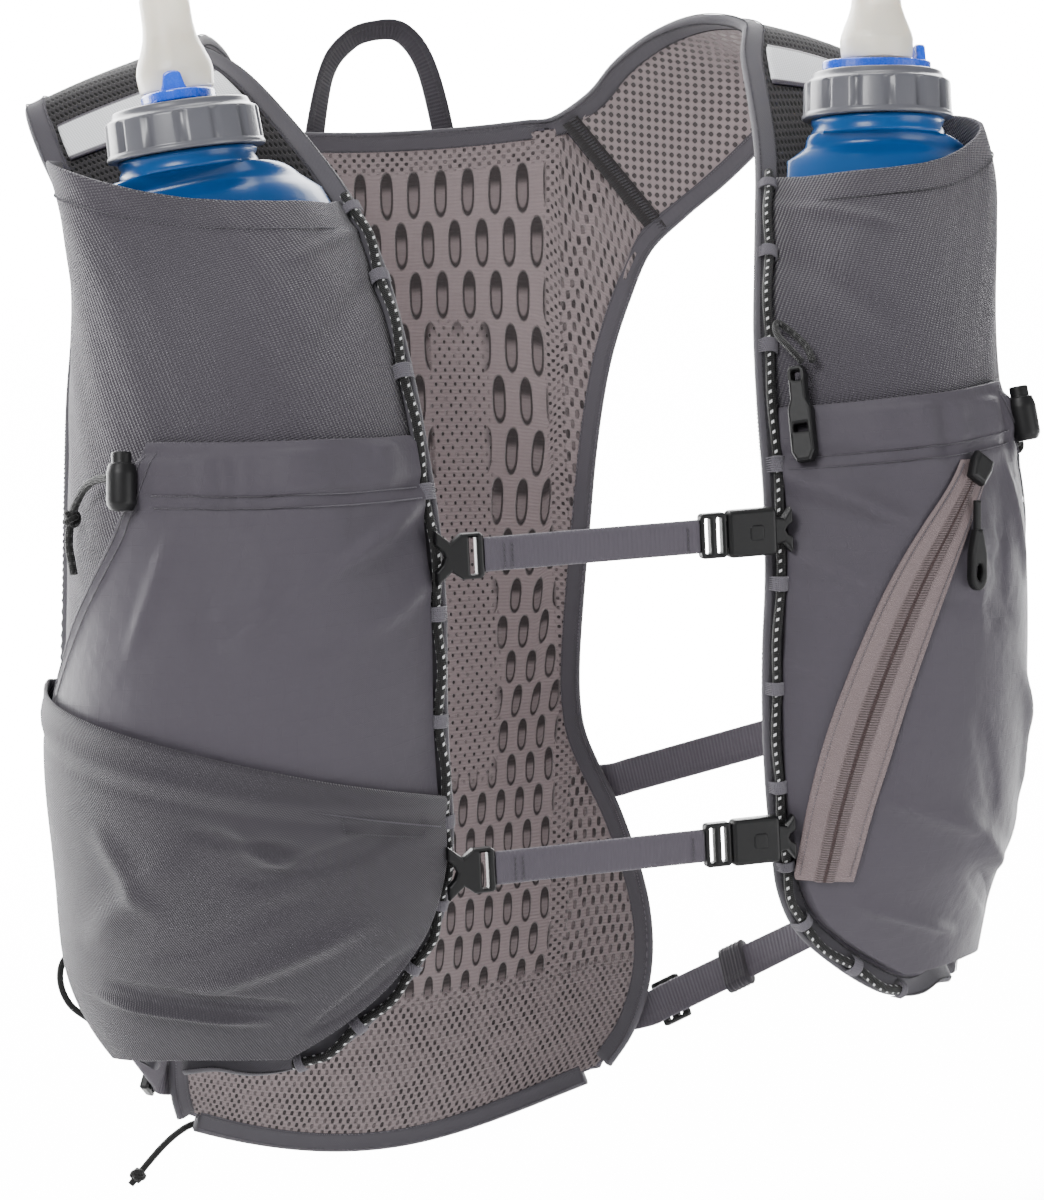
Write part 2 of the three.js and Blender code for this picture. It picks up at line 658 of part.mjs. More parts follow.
// a round cord along points
function cord(points, diameter, steps) {
  const section = new THREE.Shape();
  for (let k = 0; k < 8; k += 1) {
    const angle = (k / 8) * Math.PI * 2;
    const [x, y] = [Math.cos(angle) * diameter / 2, Math.sin(angle) * diameter / 2];
    if (k === 0) section.moveTo(x, y);
    else section.lineTo(x, y);
  }
  const extrudePath = new THREE.CatmullRomCurve3(points, false, 'centripetal');
  return new THREE.ExtrudeGeometry(section, { steps, extrudePath, bevelEnabled: false });
}

// puts a mesh on a frame: its own x, y and z along three given directions
function seat(mesh, point, x, z) {
  const along = x.clone().normalize();
  const side = z.clone().cross(along).normalize();
  const basis = new THREE.Matrix4().makeBasis(along, side, along.clone().cross(side));
  mesh.position.copy(point);
  mesh.quaternion.setFromRotationMatrix(basis);
  return mesh;
}

function outline(corners) {
  const shape = new THREE.Shape();
  corners.forEach(([x, y], k) => (k === 0 ? shape.moveTo(x, y) : shape.lineTo(x, y)));
  return shape;
}

function slot(shape, x, y, width, height) {
  const [w, h] = [width / 2, height / 2];
  const hole = new THREE.Path();
  hole.moveTo(x - w, y - h);
  hole.lineTo(x - w, y + h);
  hole.lineTo(x + w, y + h);
  hole.lineTo(x + w, y - h);
  shape.holes.push(hole);
  return shape;
}

// a flat plate of an outline, lying in its own x and z, centred through its thickness
function plate(shape, thick, curveSegments = 6) {
  const geometry = new THREE.ExtrudeGeometry(shape, { depth: thick, bevelEnabled: false, curveSegments });
  return geometry.translate(0, 0, -thick / 2).rotateX(Math.PI / 2);
}

// elastic lacing on the neck edge of each front panel
const LACE_INSET = 3;
function laceAt(row, side) {
  const lift = BINDING_THICK / 2 + 2 * GAP + BUNGEE / 2;
  return panelAt(margin(LACE_INSET, row, 'neck'), row, side, lift).point;
}
for (const [name, side] of SIDES) {
  const points = range(5.45, 12.4, 20).map((row) => laceAt(row, side));
  add(`lace_cord_${name}`, cord(points, BUNGEE, 22), LOOK.black);
}

// Sternum straps. The hooks clip over the laces; lengths run from the right lace.
const STERNUM = [['upper', 7.97], ['lower', 10]];
const HOOK = { length: 15, height: 17, thick: 4, over: 0.4, rows: 0.17 };
const CLIP_HEAD = 6;
const ADJUSTER = { length: 8.5, height: 14 };
const BUCKLE = { length: 16, height: 14.8, wall: 1.2 };
for (const [name, row] of STERNUM) {
  const right = laceAt(row, -1);
  const left = laceAt(row, 1);
  const reach = [-HOOK.rows, 0, HOOK.rows];
  const front = reach.flatMap((shift) => [laceAt(row + shift, -1).y, laceAt(row + shift, 1).y]);
  const y = Math.min(...front) - BUNGEE / 2 - 1.5 * GAP - HOOK.thick / 2;
  const z = (right.z + left.z) / 2;
  const hookAt = right.x - HOOK.over + HOOK.length / 2;
  const [w, h] = [HOOK.length / 2, HOOK.height / 2];
  const jaws = outline([
    [-w, -h], [-w * 0.35, -h * 0.52], [w * 0.1, -h * 0.82], [w, -h * 0.82],
    [w, h * 0.82], [w * 0.1, h * 0.82], [-w * 0.35, h * 0.52], [-w, h],
    [-w, h * 0.5], [-w * 0.6, 0], [-w, -h * 0.5],
  ]);
  slot(jaws, w * 0.55, 0.05, 2.2, WEBBING + 1);
  const hook = add(`sternum_hook_${name}`, plate(jaws, HOOK.thick), LOOK.plastic);
  hook.position.set(hookAt, y, z);

  const buckleEnd = left.x - CLIP_HEAD + 2;
  const buckleAt = buckleEnd - BUCKLE.length / 2;
  const adjusterAt = buckleEnd - BUCKLE.length - ADJUSTER.length / 2 - GAP;
  const webFrom = hookAt + HOOK.length / 2 + GAP;
  const webTo = adjusterAt - ADJUSTER.length / 2 - GAP;
  const line = range(webFrom, webTo, 6).map((x) => ({ point: v3(x, y, z), out: v3(0, -1, 0) }));
  const web = sweep(stationsAlong(line), flatSection(WEBBING, 2 * WEBBING_THICK));
  add(`sternum_strap_${name}`, web, LOOK.webbing);

  // the buckle's male half with its ladder, fastened in the female half
  const [a, b] = [ADJUSTER.length / 2, ADJUSTER.height / 2];
  const ladder = outline([[-a, -b], [a, -b], [a, b], [-a, b]]);
  slot(ladder, -a * 0.45, 0, 1.8, WEBBING + 0.6);
  slot(ladder, a * 0.45, 0, 1.8, WEBBING + 0.9);
  const insert = BUCKLE.length * 0.8;
  const tongueHalf = BUCKLE.height / 2 - BUCKLE.wall - GAP;
  const tongue = outline([
    [a - 0.5, -tongueHalf * 0.7], [a + insert, -tongueHalf],
    [a + insert, tongueHalf], [a - 0.5, tongueHalf * 0.7],
  ]);
  const tongueThick = BUCKLE_THICK - 2 * BUCKLE.wall - 2 * GAP;
  const male = joined(plate(ladder, HOOK.thick), plate(tongue, tongueThick));
  add(`sternum_buckle_male_${name}`, male, LOOK.plastic).position.set(adjusterAt, y, z);

  const [c, d] = [BUCKLE_THICK / 2, BUCKLE.height / 2];
  const cut = 1.4;
  const housing = outline([
    [-c, -d + cut], [-c + cut, -d], [c - cut, -d], [c, -d + cut],
    [c, d - cut], [c - cut, d], [-c + cut, d], [-c, d - cut],
  ]);
  slot(housing, 0, 0, BUCKLE_THICK - 2 * BUCKLE.wall, BUCKLE.height - 2 * BUCKLE.wall);
  const shell = new THREE.ExtrudeGeometry(housing, { depth: BUCKLE.length, bevelEnabled: false });
  shell.translate(0, 0, -BUCKLE.length / 2).rotateX(Math.PI / 2).rotateZ(Math.PI / 2);
  shell.rotateX(Math.PI);
  const clipEnd = BUCKLE.length / 2 + CLIP_HEAD - 0.5;
  const clip = outline([
    [BUCKLE.length / 2 - 1, -d * 0.6], [clipEnd - 3, -d * 0.5], [clipEnd, -d * 0.95], [clipEnd, -d * 0.3],
    [clipEnd - 2.4, 0], [clipEnd, d * 0.3], [clipEnd, d * 0.95], [clipEnd - 3, d * 0.5],
    [BUCKLE.length / 2 - 1, d * 0.6],
  ]);
  const female = joined(shell, plate(clip, HOOK.thick));
  add(`sternum_buckle_female_${name}`, female, LOOK.plastic).position.set(buckleAt, y, z);
}

// Side straps, from inside the armhole edge of a front panel to outside the back's edge.
const SIDE_STRAPS = [
  // name, row on the front panel, row on the back
  ['upper', 9.05, 5.64],
  ['lower', 10.8, 8.8],
];
const STRAP_BOW = 5;
function sideStrap(front, back, side) {
  const clear = BINDING_THICK / 2 + 2 * GAP + WEBBING_THICK / 2;
  const from = [panelAt(0.84, front, side, -clear), panelAt(0.93, front, side, -clear)];
  const edge = panelAt(1, front, side, -clear);
  const lifted = clear + 0.5;
  const to = [backAt(side * 0.99, back, lifted), backAt(side * 0.86, back, lifted)];
  const out = edge.point.clone().setY(0).setZ(0).normalize();
  const span = range(0.04, 0.94, 6).map((t) => {
    const point = edge.point.clone().lerp(to[0].point, t);
    const bow = STRAP_BOW * Math.sin(Math.PI * Math.sqrt(t));
    const blend = edge.out.clone().lerp(to[0].out, t).normalize();
    return { point: point.addScaledVector(out, bow), out: blend };
  });
  return [...from, ...span, ...to];
}
for (const [name, side] of SIDES) {
  for (const [level, front, back] of SIDE_STRAPS) {
    const places = sideStrap(front, back, side);
    const web = sweep(stationsAlong(places), flatSection(SIDE_WEBBING, WEBBING_THICK));
    add(`side_strap_${level}_${name}`, web, LOOK.webbing);
  }
  // ladder lock on the lower strap, next to the back's edge
  const [, front, back] = SIDE_STRAPS[1];
  const stations = stationsAlong(sideStrap(front, back, side));
  const at = stations[stations.length - 3];
  const [w, h] = [6, SIDE_WEBBING / 2 + 2];
  const frame = outline([[-w, -h], [w, -h], [w, h], [-w, h]]);
  slot(frame, -w * 0.42, 0, 2.2, SIDE_WEBBING + 0.8);
  slot(frame, w * 0.42, 0, 2.2, SIDE_WEBBING + 1.1);
  const lock = add(`ladder_lock_${name}`, plate(frame, LOCK_THICK), LOOK.black);
  const lift = WEBBING_THICK / 2 + 2 * GAP + LOCK_THICK / 2;
  const along = at.out.clone().cross(at.wide);
  const point = at.point.clone().addScaledVector(at.out, lift);
  seat(lock, point, along, at.wide);
}

// haul loop behind the neck
{
  const foot = (across, row) => backAt(across, row, BINDING_THICK / 2 + 2 * GAP + WEBBING_THICK / 2);
  const rise = [
    // x, y, z of the loop above the neck binding, in shares of the main sizes
    [-0.156, 0.832, -0.022],
    [-0.094, 0.864, 0.007],
    [-0.03, 0.872, 0.016],
    [0.035, 0.864, 0.012],
    [0.081, 0.832, -0.022],
  ];
  const up = rise.map((place, k) => {
    const out = v3((k - 2) * 0.3, 0.9, 0.5 - Math.abs(k - 2) * 0.2).normalize();
    return { point: atShares(place), out };
  });
  const left = [foot(-0.4, 0.42), foot(-0.385, 0.2)];
  const right = [foot(0.185, 0.2), foot(0.2, 0.42)];
  const all = [...left, ...up, ...right];
  const path = new THREE.CatmullRomCurve3(all.map(({ point }) => point));
  const steps = 14;
  const places = range(0, 1, steps).map((t) => {
    const k = Math.min(t * (all.length - 1), all.length - 1.001);
    const i = Math.floor(k);
    return { point: path.getPoint(t), out: all[i].out.clone().lerp(all[i + 1].out, k - i).normalize() };
  });
  const web = sweep(stationsAlong(places), flatSection(HAUL_WEBBING, WEBBING_THICK));
  add('haul_loop', web, LOOK.webbing);
}

// diagonal zip on the left front pocket
const ZIP_LINE = [
  // row, across
  [7.62, 0.345],
  [7.95, 0.262],
  [8.35, 0.208],
  [9, 0.165],
  [9.7, 0.13],
  [10.4, 0.1],
];
function zipPlace(share, shift, lift) {
  const [row, across] = rowAt(ZIP_LINE, share * (ZIP_LINE.length - 1));
  const at = across + shift / panelWidth(row);
  const out = outwardOf(pocketPoint, at, row);
  const total = FRONT_LIFT + POCKET_NYLON / 2 + foldAt(at, row) + lift;
  return { point: placed(pocketPoint(at, row).addScaledVector(out, total), 1, row), out };
}
const ZIP = { width: 12, thick: 1, slider: [8, 4, 9], puller: [6.4, 3.6, 19], hangs: [0.315, 8.14] };
{
  const lift = 0.5 + ZIP.thick / 2;
  const tape = wall((i, j) => zipPlace(j, (i - 0.5) * ZIP.width, lift), 2, 11, ZIP.thick);
  add('zip_tape', tape, LOOK.zip);
  const head = zipPlace(0.03, 0, lift + ZIP.thick / 2 + GAP + ZIP.slider[1] / 2);
  const down = zipPlace(0.12, 0, lift).point.sub(zipPlace(0, 0, lift).point);
  const block = new THREE.BoxGeometry(ZIP.slider[0], ZIP.slider[1], ZIP.slider[2]);
  seat(add('zip_slider', block, LOOK.plastic), head.point, head.out.clone().cross(down), down.negate());
  const [w, t, h] = ZIP.puller;
  const drop = outline([[-w * 0.3, h / 2], [-w / 2, h * 0.3], [-w / 2, -h * 0.4], [-w * 0.3, -h / 2],
    [w * 0.3, -h / 2], [w / 2, -h * 0.4], [w / 2, h * 0.3], [w * 0.3, h / 2]]);
  const stemLength = 9;
  const [stemFoot, stemEnd] = [h / 2 - 1, h / 2 + stemLength];
  const stem = outline([[-1.1, stemFoot], [1.1, stemFoot], [1.1, stemEnd], [-1.1, stemEnd]]);
  const puller = joined(plate(drop, t), plate(stem, 2.2));
  const [across, row] = ZIP.hangs;
  const out = outwardOf(pocketPoint, across, row);
  const fall = pocketPoint(across, row + 0.1).sub(pocketPoint(across, row));
  const rise = FRONT_LIFT + POCKET_NYLON / 2 + foldAt(across, row) + lift + ZIP.thick / 2 - GAP + t / 2;
  const at = placed(pocketPoint(across, row).addScaledVector(out, rise), 1, row);
  seat(add('zip_puller', puller, LOOK.black), at, out.clone().cross(fall), fall.clone().negate());
}

// drawcord ends of the front pockets: cord lock, cord and knot
const CORD_LOCK = { body: 9, length: 14, button: 6, press: 3.5 };
const DRAWCORD = [
  // x away from the middle, y, z in shares of the main sizes, from the cord lock to the tail
  [0.96, -0.9496, -0.3198], [0.9788, -0.888, -0.3225],
  [0.9938, -0.828, -0.3312], [1.0081, -0.776, -0.3488],
  [1.0162, -0.7544, -0.3713], [1.015, -0.784, -0.395],
];
const KNOT_PLACE = 0.62;

for (const [name, side] of SIDES) {
  const [across, row] = [0.56, 7.42];
  const out = outwardOf(bottlePoint, across, row);
  const down = bottlePoint(across, row + 0.1).sub(bottlePoint(across, row));
  const clear = (side > 0 ? 5 : 3) * GAP;
  const lift = FRONT_LIFT + POCKET_NYLON / 2 + clear + CORD_LOCK.body / 2;
  const at = placed(bottlePoint(across, row).addScaledVector(out, lift), side, row);
  const { body, length, button, press } = CORD_LOCK;
  const profile = [[0, -length / 2], [body * 0.36, -length / 2], [body / 2, -length * 0.36],
    [body / 2, length * 0.3], [body * 0.42, length / 2], [button / 2, length / 2],
    [button / 2, length / 2 + press], [0, length / 2 + press]];
  const lathe = new THREE.LatheGeometry(profile.map(([r, z]) => new THREE.Vector2(r, z)), 10);
  lathe.rotateX(Math.PI / 2);
  const mesh = add(`cord_lock_${name}`, lathe, LOOK.plastic);
  seat(mesh, at, mirrored(out, side), mirrored(down, side).negate());
  const shift = side > 0 ? -2.5 : 0;
  const points = DRAWCORD.map(atShares);
  points.forEach((point) => { point.x = side * (drawnIn(point.x, side) + shift); });
  add(`drawcord_${name}`, knotted(points, CORD, 7, KNOT_PLACE), LOOK.black);
}

// whistle on a short cord from the left lace
const WHISTLE = { width: 7.6, thick: 5.4, length: 30 };
{
  const [across, row] = [0.078, 7.36];
  const out = outwardOf(bottlePoint, across, row);
  const down = bottlePoint(across, row + 0.1).sub(bottlePoint(across, row));
  const lift = FRONT_LIFT + POCKET_NYLON / 2 + 1.5 * GAP + WHISTLE.thick / 2;
  const at = placed(bottlePoint(across, row).addScaledVector(out, lift), 1, row);
  const [w, h] = [WHISTLE.width / 2, WHISTLE.length / 2];
  const body = outline([[-w * 0.6, -h], [w * 0.6, -h], [w, -h * 0.8], [w, h * 0.1], [w * 0.7, h * 0.3],
    [w * 0.7, h], [-w * 0.7, h], [-w * 0.7, h * 0.3], [-w, h * 0.1], [-w, -h * 0.8]]);
  slot(body, 0, h * 0.8, 3, 3);
  slot(body, 0, -h * 0.3, w * 1.2, 2.4);
  const mesh = add('whistle', plate(body, WHISTLE.thick), LOOK.plastic);
  seat(mesh, at, out.clone().cross(down), down.clone().negate());
}

// short cord on the whistle, looped round the left lace
const WHISTLE_CORD = [
  // x, y, z in shares of the main sizes, from the whistle's hole up to the lace and back
  [0.3975, -1.0224, -0.268], [0.3844, -0.996, -0.2587],
  [0.3719, -0.948, -0.2475], [0.3812, -0.916, -0.2387],
  [0.4031, -0.94, -0.2462], [0.4188, -0.988, -0.2575],
  [0.42, -1.0224, -0.268],
];
{
  const points = WHISTLE_CORD.map(atShares);
  add('whistle_cord', cord(points, LOOP_CORD, 7), LOOK.black);
}

// end of the hem's cord, out of the right corner of the hem
const HEM_CORD = [
  // x, y, z in shares of the main sizes, from the hem binding to the knot
  [-0.6075, 0.7248, -0.9557], [-0.6344, 0.7168, -0.9575],
  [-0.6656, 0.704, -0.9625], [-0.7, 0.692, -0.9712],
  [-0.7406, 0.6784, -0.985], [-0.7812, 0.664, -1],
];
{
  const points = HEM_CORD.map(atShares);
  add('hem_cord', knotted(points, CORD, 5, 0.88), LOOK.black);
}

// elastic loop on the armhole edge of the right front panel
const SIDE_LOOP = [
  // x, y, z in shares of the main sizes, from its upper end to its lower end
  [-1.0069, -0.352, -0.71], [-1.0331, -0.36, -0.7225],
  [-1.0375, -0.364, -0.7388], [-1.0219, -0.372, -0.755],
  [-0.9881, -0.384, -0.7675],
];
{
  const points = SIDE_LOOP.map(atShares);
  add('side_loop_right', cord(points, LOOP_CORD, 6), LOOK.black);
}

// cloth keeper round the left lower side strap
const KEEPER = { width: 17, thick: 5.6, length: 10, segment: 6 };
{
  const [, front, back] = SIDE_STRAPS[1];
  const places = sideStrap(front, back, 1);
  const stations = stationsAlong(places);
  const [from, to] = [places[KEEPER.segment].point, places[KEEPER.segment + 1].point];
  const along = to.clone().sub(from);
  const [w, t] = [KEEPER.width / 2, KEEPER.thick / 2];
  const ring = outline([[-w, -t], [w, -t], [w, t], [-w, t]]);
  slot(ring, 0, 0, SIDE_WEBBING + 1.2, WEBBING_THICK + 1.8);
  const sleeve = new THREE.ExtrudeGeometry(ring, { depth: KEEPER.length, bevelEnabled: false });
  sleeve.translate(0, 0, -KEEPER.length / 2);
  const middle = from.clone().lerp(to, 0.5);
  seat(add('strap_keeper_left', sleeve, LOOK.webbing), middle, stations[KEEPER.segment].wide, along);
}

// a cord with a knot at a share of its length
function knotted(points, diameter, steps, share) {
  const at = new THREE.CatmullRomCurve3(points, false, 'centripetal').getPointAt(share);
  const knot = new THREE.IcosahedronGeometry(diameter * 1.15, 0).translate(at.x, at.y, at.z);
  return joined(cord(points, diameter, steps), knot);
}

// joins closed meshes into one solid
function joined(...geometries) {
  const parts = geometries.map((geometry) => {
    const bare = geometry.clone();
    bare.deleteAttribute('normal');
    bare.deleteAttribute('uv');
    const merged = mergeVertices(bare, 1e-4);
    const vertProperties = new Float32Array(merged.attributes.position.array);
    const triVerts = new Uint32Array(merged.index.array);
    return new wasm.Manifold(new wasm.Mesh({ numProp: 3, vertProperties, triVerts }));
  });
  const whole = parts.reduce((a, b) => a.add(b)).getMesh();
  const geometry = new THREE.BufferGeometry();
  geometry.setAttribute('position', new THREE.BufferAttribute(new Float32Array(whole.vertProperties), 3));
  geometry.setIndex(new THREE.BufferAttribute(new Uint32Array(whole.triVerts), 1));
  geometry.computeVertexNormals();
  return geometry;
}

export default vest;
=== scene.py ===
import json
import math

import bpy
import numpy as np
from mathutils import Matrix, Vector

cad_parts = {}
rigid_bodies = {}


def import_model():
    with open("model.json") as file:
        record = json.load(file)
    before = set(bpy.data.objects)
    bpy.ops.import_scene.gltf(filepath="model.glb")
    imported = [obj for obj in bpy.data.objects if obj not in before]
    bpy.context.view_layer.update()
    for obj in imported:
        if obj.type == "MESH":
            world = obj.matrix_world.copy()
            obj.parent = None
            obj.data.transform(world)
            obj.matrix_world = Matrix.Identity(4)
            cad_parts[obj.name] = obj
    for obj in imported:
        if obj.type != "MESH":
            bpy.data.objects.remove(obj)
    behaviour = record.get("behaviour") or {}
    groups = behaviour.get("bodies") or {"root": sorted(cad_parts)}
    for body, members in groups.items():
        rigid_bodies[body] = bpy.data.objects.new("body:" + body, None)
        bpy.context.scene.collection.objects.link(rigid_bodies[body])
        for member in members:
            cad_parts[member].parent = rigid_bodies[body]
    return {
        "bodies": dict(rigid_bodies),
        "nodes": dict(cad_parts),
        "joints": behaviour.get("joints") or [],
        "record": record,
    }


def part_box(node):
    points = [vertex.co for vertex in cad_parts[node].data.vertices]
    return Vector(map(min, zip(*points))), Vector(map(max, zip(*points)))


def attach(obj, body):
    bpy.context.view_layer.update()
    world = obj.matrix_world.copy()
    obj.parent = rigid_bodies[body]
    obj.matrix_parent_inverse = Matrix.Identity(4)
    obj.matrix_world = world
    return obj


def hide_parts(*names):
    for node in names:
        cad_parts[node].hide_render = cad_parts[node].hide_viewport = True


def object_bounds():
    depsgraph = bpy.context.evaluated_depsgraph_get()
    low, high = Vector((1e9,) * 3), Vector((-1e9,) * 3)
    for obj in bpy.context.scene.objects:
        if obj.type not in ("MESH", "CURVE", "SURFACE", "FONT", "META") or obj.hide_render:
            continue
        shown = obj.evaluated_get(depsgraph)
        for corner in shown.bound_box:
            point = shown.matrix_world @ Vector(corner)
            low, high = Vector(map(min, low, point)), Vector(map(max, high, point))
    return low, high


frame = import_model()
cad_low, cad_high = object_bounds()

# Running hydration vest. Metres, +Z up, front towards -Y, +X towards the wearer's left.
HALF_WIDTH = 0.160
HALF_DEPTH = 0.125
HEIGHT = 0.400
MAIN = np.array([HALF_WIDTH, HALF_DEPTH, HEIGHT])
PANEL = 0.0026
BACK_MESH = 0.003
POCKET_KNIT = 0.0015
POCKET_NYLON = 0.0012
BINDING_WIDTH = 0.008
BINDING_THICK = 0.0036
GAP = 0.0003
POCKET_MARGIN = 0.0065
LAYER_GAP = 0.0014
FLASK_DEPTH = 0.042
FLASK_WIDTH = 0.084
FLASK_PLAY = 0.001
CAP_DIAMETER = 0.049
CAP_HEIGHT = 0.015
NECK_DIAMETER = 0.043
NECK_HEIGHT = 0.0055
SPOUT_DIAMETER = 0.018
VALVE_BASE = 0.023
VALVE_TOP = 0.0155
VALVE_HEIGHT = 0.031
LEVER_LENGTH = 0.036
LEVER_WIDTH = 0.023
LEVER_THICK = 0.0034
WEBBING = 0.0105
WEBBING_THICK = 0.0014
SIDE_WEBBING = 0.0125
HAUL_WEBBING = 0.008
BAND_THICK = 0.0008
BUNGEE = 0.003
CORD = 0.0025
LOOP_CORD = 0.0022
TRIM = BINDING_WIDTH + 0.0009
TUCK = 0.0045
SIDES = (("right", -1), ("left", 1))
MM = 0.001

# small helpers


def vec(*p):
    return np.array(p, float)


def unit(v):
    return v / np.maximum(np.linalg.norm(v, axis=-1, keepdims=True), 1e-12)


def run_along(points):
    """The distance along a line at each of its points."""
    return np.concatenate([[0], np.cumsum(np.linalg.norm(np.diff(points, axis=0), axis=-1))])


def catmull(points, count):
    """Evenly spaced points on a smooth curve through given ones."""
    pts = np.array(points, float)
    pts = np.vstack([2 * pts[0] - pts[1], pts, 2 * pts[-1] - pts[-2]])
    fine = []
    for k in range(1, len(pts) - 2):
        a, b, c, d = pts[k - 1:k + 3]
        for t in np.linspace(0, 1, 24, endpoint=False):
            fine.append(0.5 * (2 * b + (c - a) * t + (2 * a - 5 * b + 4 * c - d) * t * t
                               + (3 * b - a - 3 * c + d) * t ** 3))
    fine.append(pts[-2])
    fine = np.array(fine)
    run = run_along(fine)
    want = np.linspace(0, run[-1], count)
    return np.stack([np.interp(want, run, fine[:, k]) for k in range(3)], axis=1)


# camera, fitted to the photograph; focal length and centre are in its pixels

CAMERA = {"az": -16.3, "el": 7.2, "roll": -2.9, "distance": 1.272, "target": (0, 0, -0.191),
          "focal": 3737, "centre": (500.8, 603.1), "frame": (1044, 1200)}


def make_camera():
    az, el = math.radians(CAMERA["az"]), math.radians(CAMERA["el"])
    back = Vector((math.sin(az) * math.cos(el), -math.cos(az) * math.cos(el), math.sin(el)))
    place = Vector(CAMERA["target"]) + back * CAMERA["distance"]
    width, height = CAMERA["frame"]
    forward = -back
    right = forward.cross(Vector((0, 0, 1))).normalized()
    up = right.cross(forward)
    roll = math.radians(CAMERA["roll"])
    side = right * math.cos(roll) + up * math.sin(roll)
    top = -right * math.sin(roll) + up * math.cos(roll)
    # the photograph's centre lies a little off the fitted axis, so the camera is turned to it
    dx = (width / 2 - CAMERA["centre"][0]) / CAMERA["focal"]
    dy = (height / 2 - CAMERA["centre"][1]) / CAMERA["focal"]
    aim = (forward + side * dx - top * dy).normalized()
    side = aim.cross(top).normalized()
    top = side.cross(aim)
    data = bpy.data.cameras.new("camera")
    data.sensor_fit = "VERTICAL"
    data.sensor_height = 36
    data.sensor_width = 36
    data.lens = CAMERA["focal"] / height * 36
    cam = bpy.data.objects.new("camera", data)
    cam.matrix_world = Matrix((
        (side.x, top.x, -aim.x, place.x), (side.y, top.y, -aim.y, place.y),
        (side.z, top.z, -aim.z, place.z), (0, 0, 0, 1)))
    bpy.context.scene.collection.objects.link(cam)
    bpy.context.scene.camera = cam


make_camera()

# materials


class Graph:
    """A short way to write a material's nodes."""

    def __init__(self, name):
        self.material = bpy.data.materials.new(name)
        self.material.use_nodes = True
        self.tree = self.material.node_tree
        self.shader = next(n for n in self.tree.nodes if n.type == "BSDF_PRINCIPLED")

    def node(self, kind, **settings):
        made = self.tree.nodes.new(kind)
        for key, value in settings.items():
            setattr(made, key, value)
        return made

    def put(self, socket, value):
        if isinstance(value, bpy.types.NodeSocket):
            self.tree.links.new(value, socket)
        else:
            socket.default_value = value

    def math(self, operation, a, b=0.0, c=0.0):
        made = self.node("ShaderNodeMath", operation=operation)
        for socket, value in zip(made.inputs, (a, b, c)):
            self.put(socket, value)
        return made.outputs[0]

    def add(self, a, b):
        return self.math("ADD", a, b)

    def sub(self, a, b):
        return self.math("SUBTRACT", a, b)

    def mul(self, a, b):
        return self.math("MULTIPLY", a, b)

    def wave(self, a, pitch, shift=0.0):
        """A cosine of a length, from -1 to 1."""
        return self.math("COSINE", self.math("MULTIPLY_ADD", a, 2 * math.pi / pitch, shift))

    def step(self, a, low, high):
        made = self.node("ShaderNodeMapRange", interpolation_type="SMOOTHSTEP")
        for socket, value in zip(made.inputs, (a, low, high, 0.0, 1.0)):
            self.put(socket, value)
        return made.outputs[0]

    def uv(self):
        """The two lengths of a piece's own map, in millimetres."""
        found = self.node("ShaderNodeUVMap", uv_map="lengths")
        parts = self.node("ShaderNodeSeparateXYZ")
        self.put(parts.inputs[0], found.outputs[0])
        return parts.outputs[0], parts.outputs[1]

    def xyz(self):
        found = self.node("ShaderNodeTexCoord")
        return found.outputs["Object"]

    def noise(self, scale, detail=3.0, rough=0.55, vector=None):
        made = self.node("ShaderNodeTexNoise")
        self.put(made.inputs["Vector"], self.xyz() if vector is None else vector)
        made.inputs["Scale"].default_value = scale
        made.inputs["Detail"].default_value = detail
        made.inputs["Roughness"].default_value = rough
        return made.outputs[0]

    def mix(self, share, a, b):
        made = self.node("ShaderNodeMix", data_type="RGBA")
        self.put(made.inputs[0], share)
        for socket, value in ((made.inputs[6], a), (made.inputs[7], b)):
            self.put(socket, (*value, 1) if isinstance(value, tuple) and len(value) == 3 else value)
        return made.outputs[2]

    def blend(self, share, a, b):
        made = self.node("ShaderNodeMix", data_type="FLOAT")
        for place, value in ((0, share), (2, a), (3, b)):
            self.put(made.inputs[place], value)
        return made.outputs[0]

    def bump(self, height, distance, strength=1.0, normal=None):
        made = self.node("ShaderNodeBump")
        made.inputs["Strength"].default_value = strength
        made.inputs["Distance"].default_value = distance
        self.put(made.inputs["Height"], height)
        if normal is not None:
            self.put(made.inputs["Normal"], normal)
        return made.outputs[0]

    def set(self, **values):
        for key, value in values.items():
            socket = self.shader.inputs[key.replace("_", " ")]
            if isinstance(value, tuple) and socket.type == "RGBA":
                value = (*value, 1)
            self.put(socket, value)
        return self


def shade(colour, factor):
    return tuple(min(c * factor, 1.0) for c in colour)


GREY = (0.070, 0.062, 0.078)
GREY_NYLON = (0.058, 0.052, 0.064)
GREY_LOWER = (0.041, 0.0365, 0.0455)
GREY_BINDING = (0.062, 0.058, 0.068)
MAUVE = (0.256, 0.210, 0.214)
BLACK = (0.005, 0.005, 0.005)
BLUE_FILM = (0.0005, 0.052, 0.190)
BLUE_LEVER = (0.002, 0.085, 0.72)


def cloth_graph(name, colour, scale=9.0, spread=0.12):
    """A cloth's graph, its map and its colour, with faint large and small changes of tone."""
    g = Graph(name)
    u, v = g.uv()
    tone = g.add(g.mul(g.noise(scale, 2.0), 0.7), g.mul(g.noise(scale * 60, 2.0), 0.3))
    return g, u, v, g.mix(tone, shade(colour, 1 - spread), shade(colour, 1 + spread)), tone


def finish_cloth(g, colour, look, height, depth, strength):
    """Sets a cloth's colour, its (roughness, sheen, specular) and the relief of its weave."""
    rough, sheen, specular = look
    g.set(Base_Color=colour, Roughness=rough, Sheen_Weight=sheen, Sheen_Roughness=0.5,
          Specular_IOR_Level=specular)
    g.set(Normal=g.bump(height, depth, strength))
    return g.material


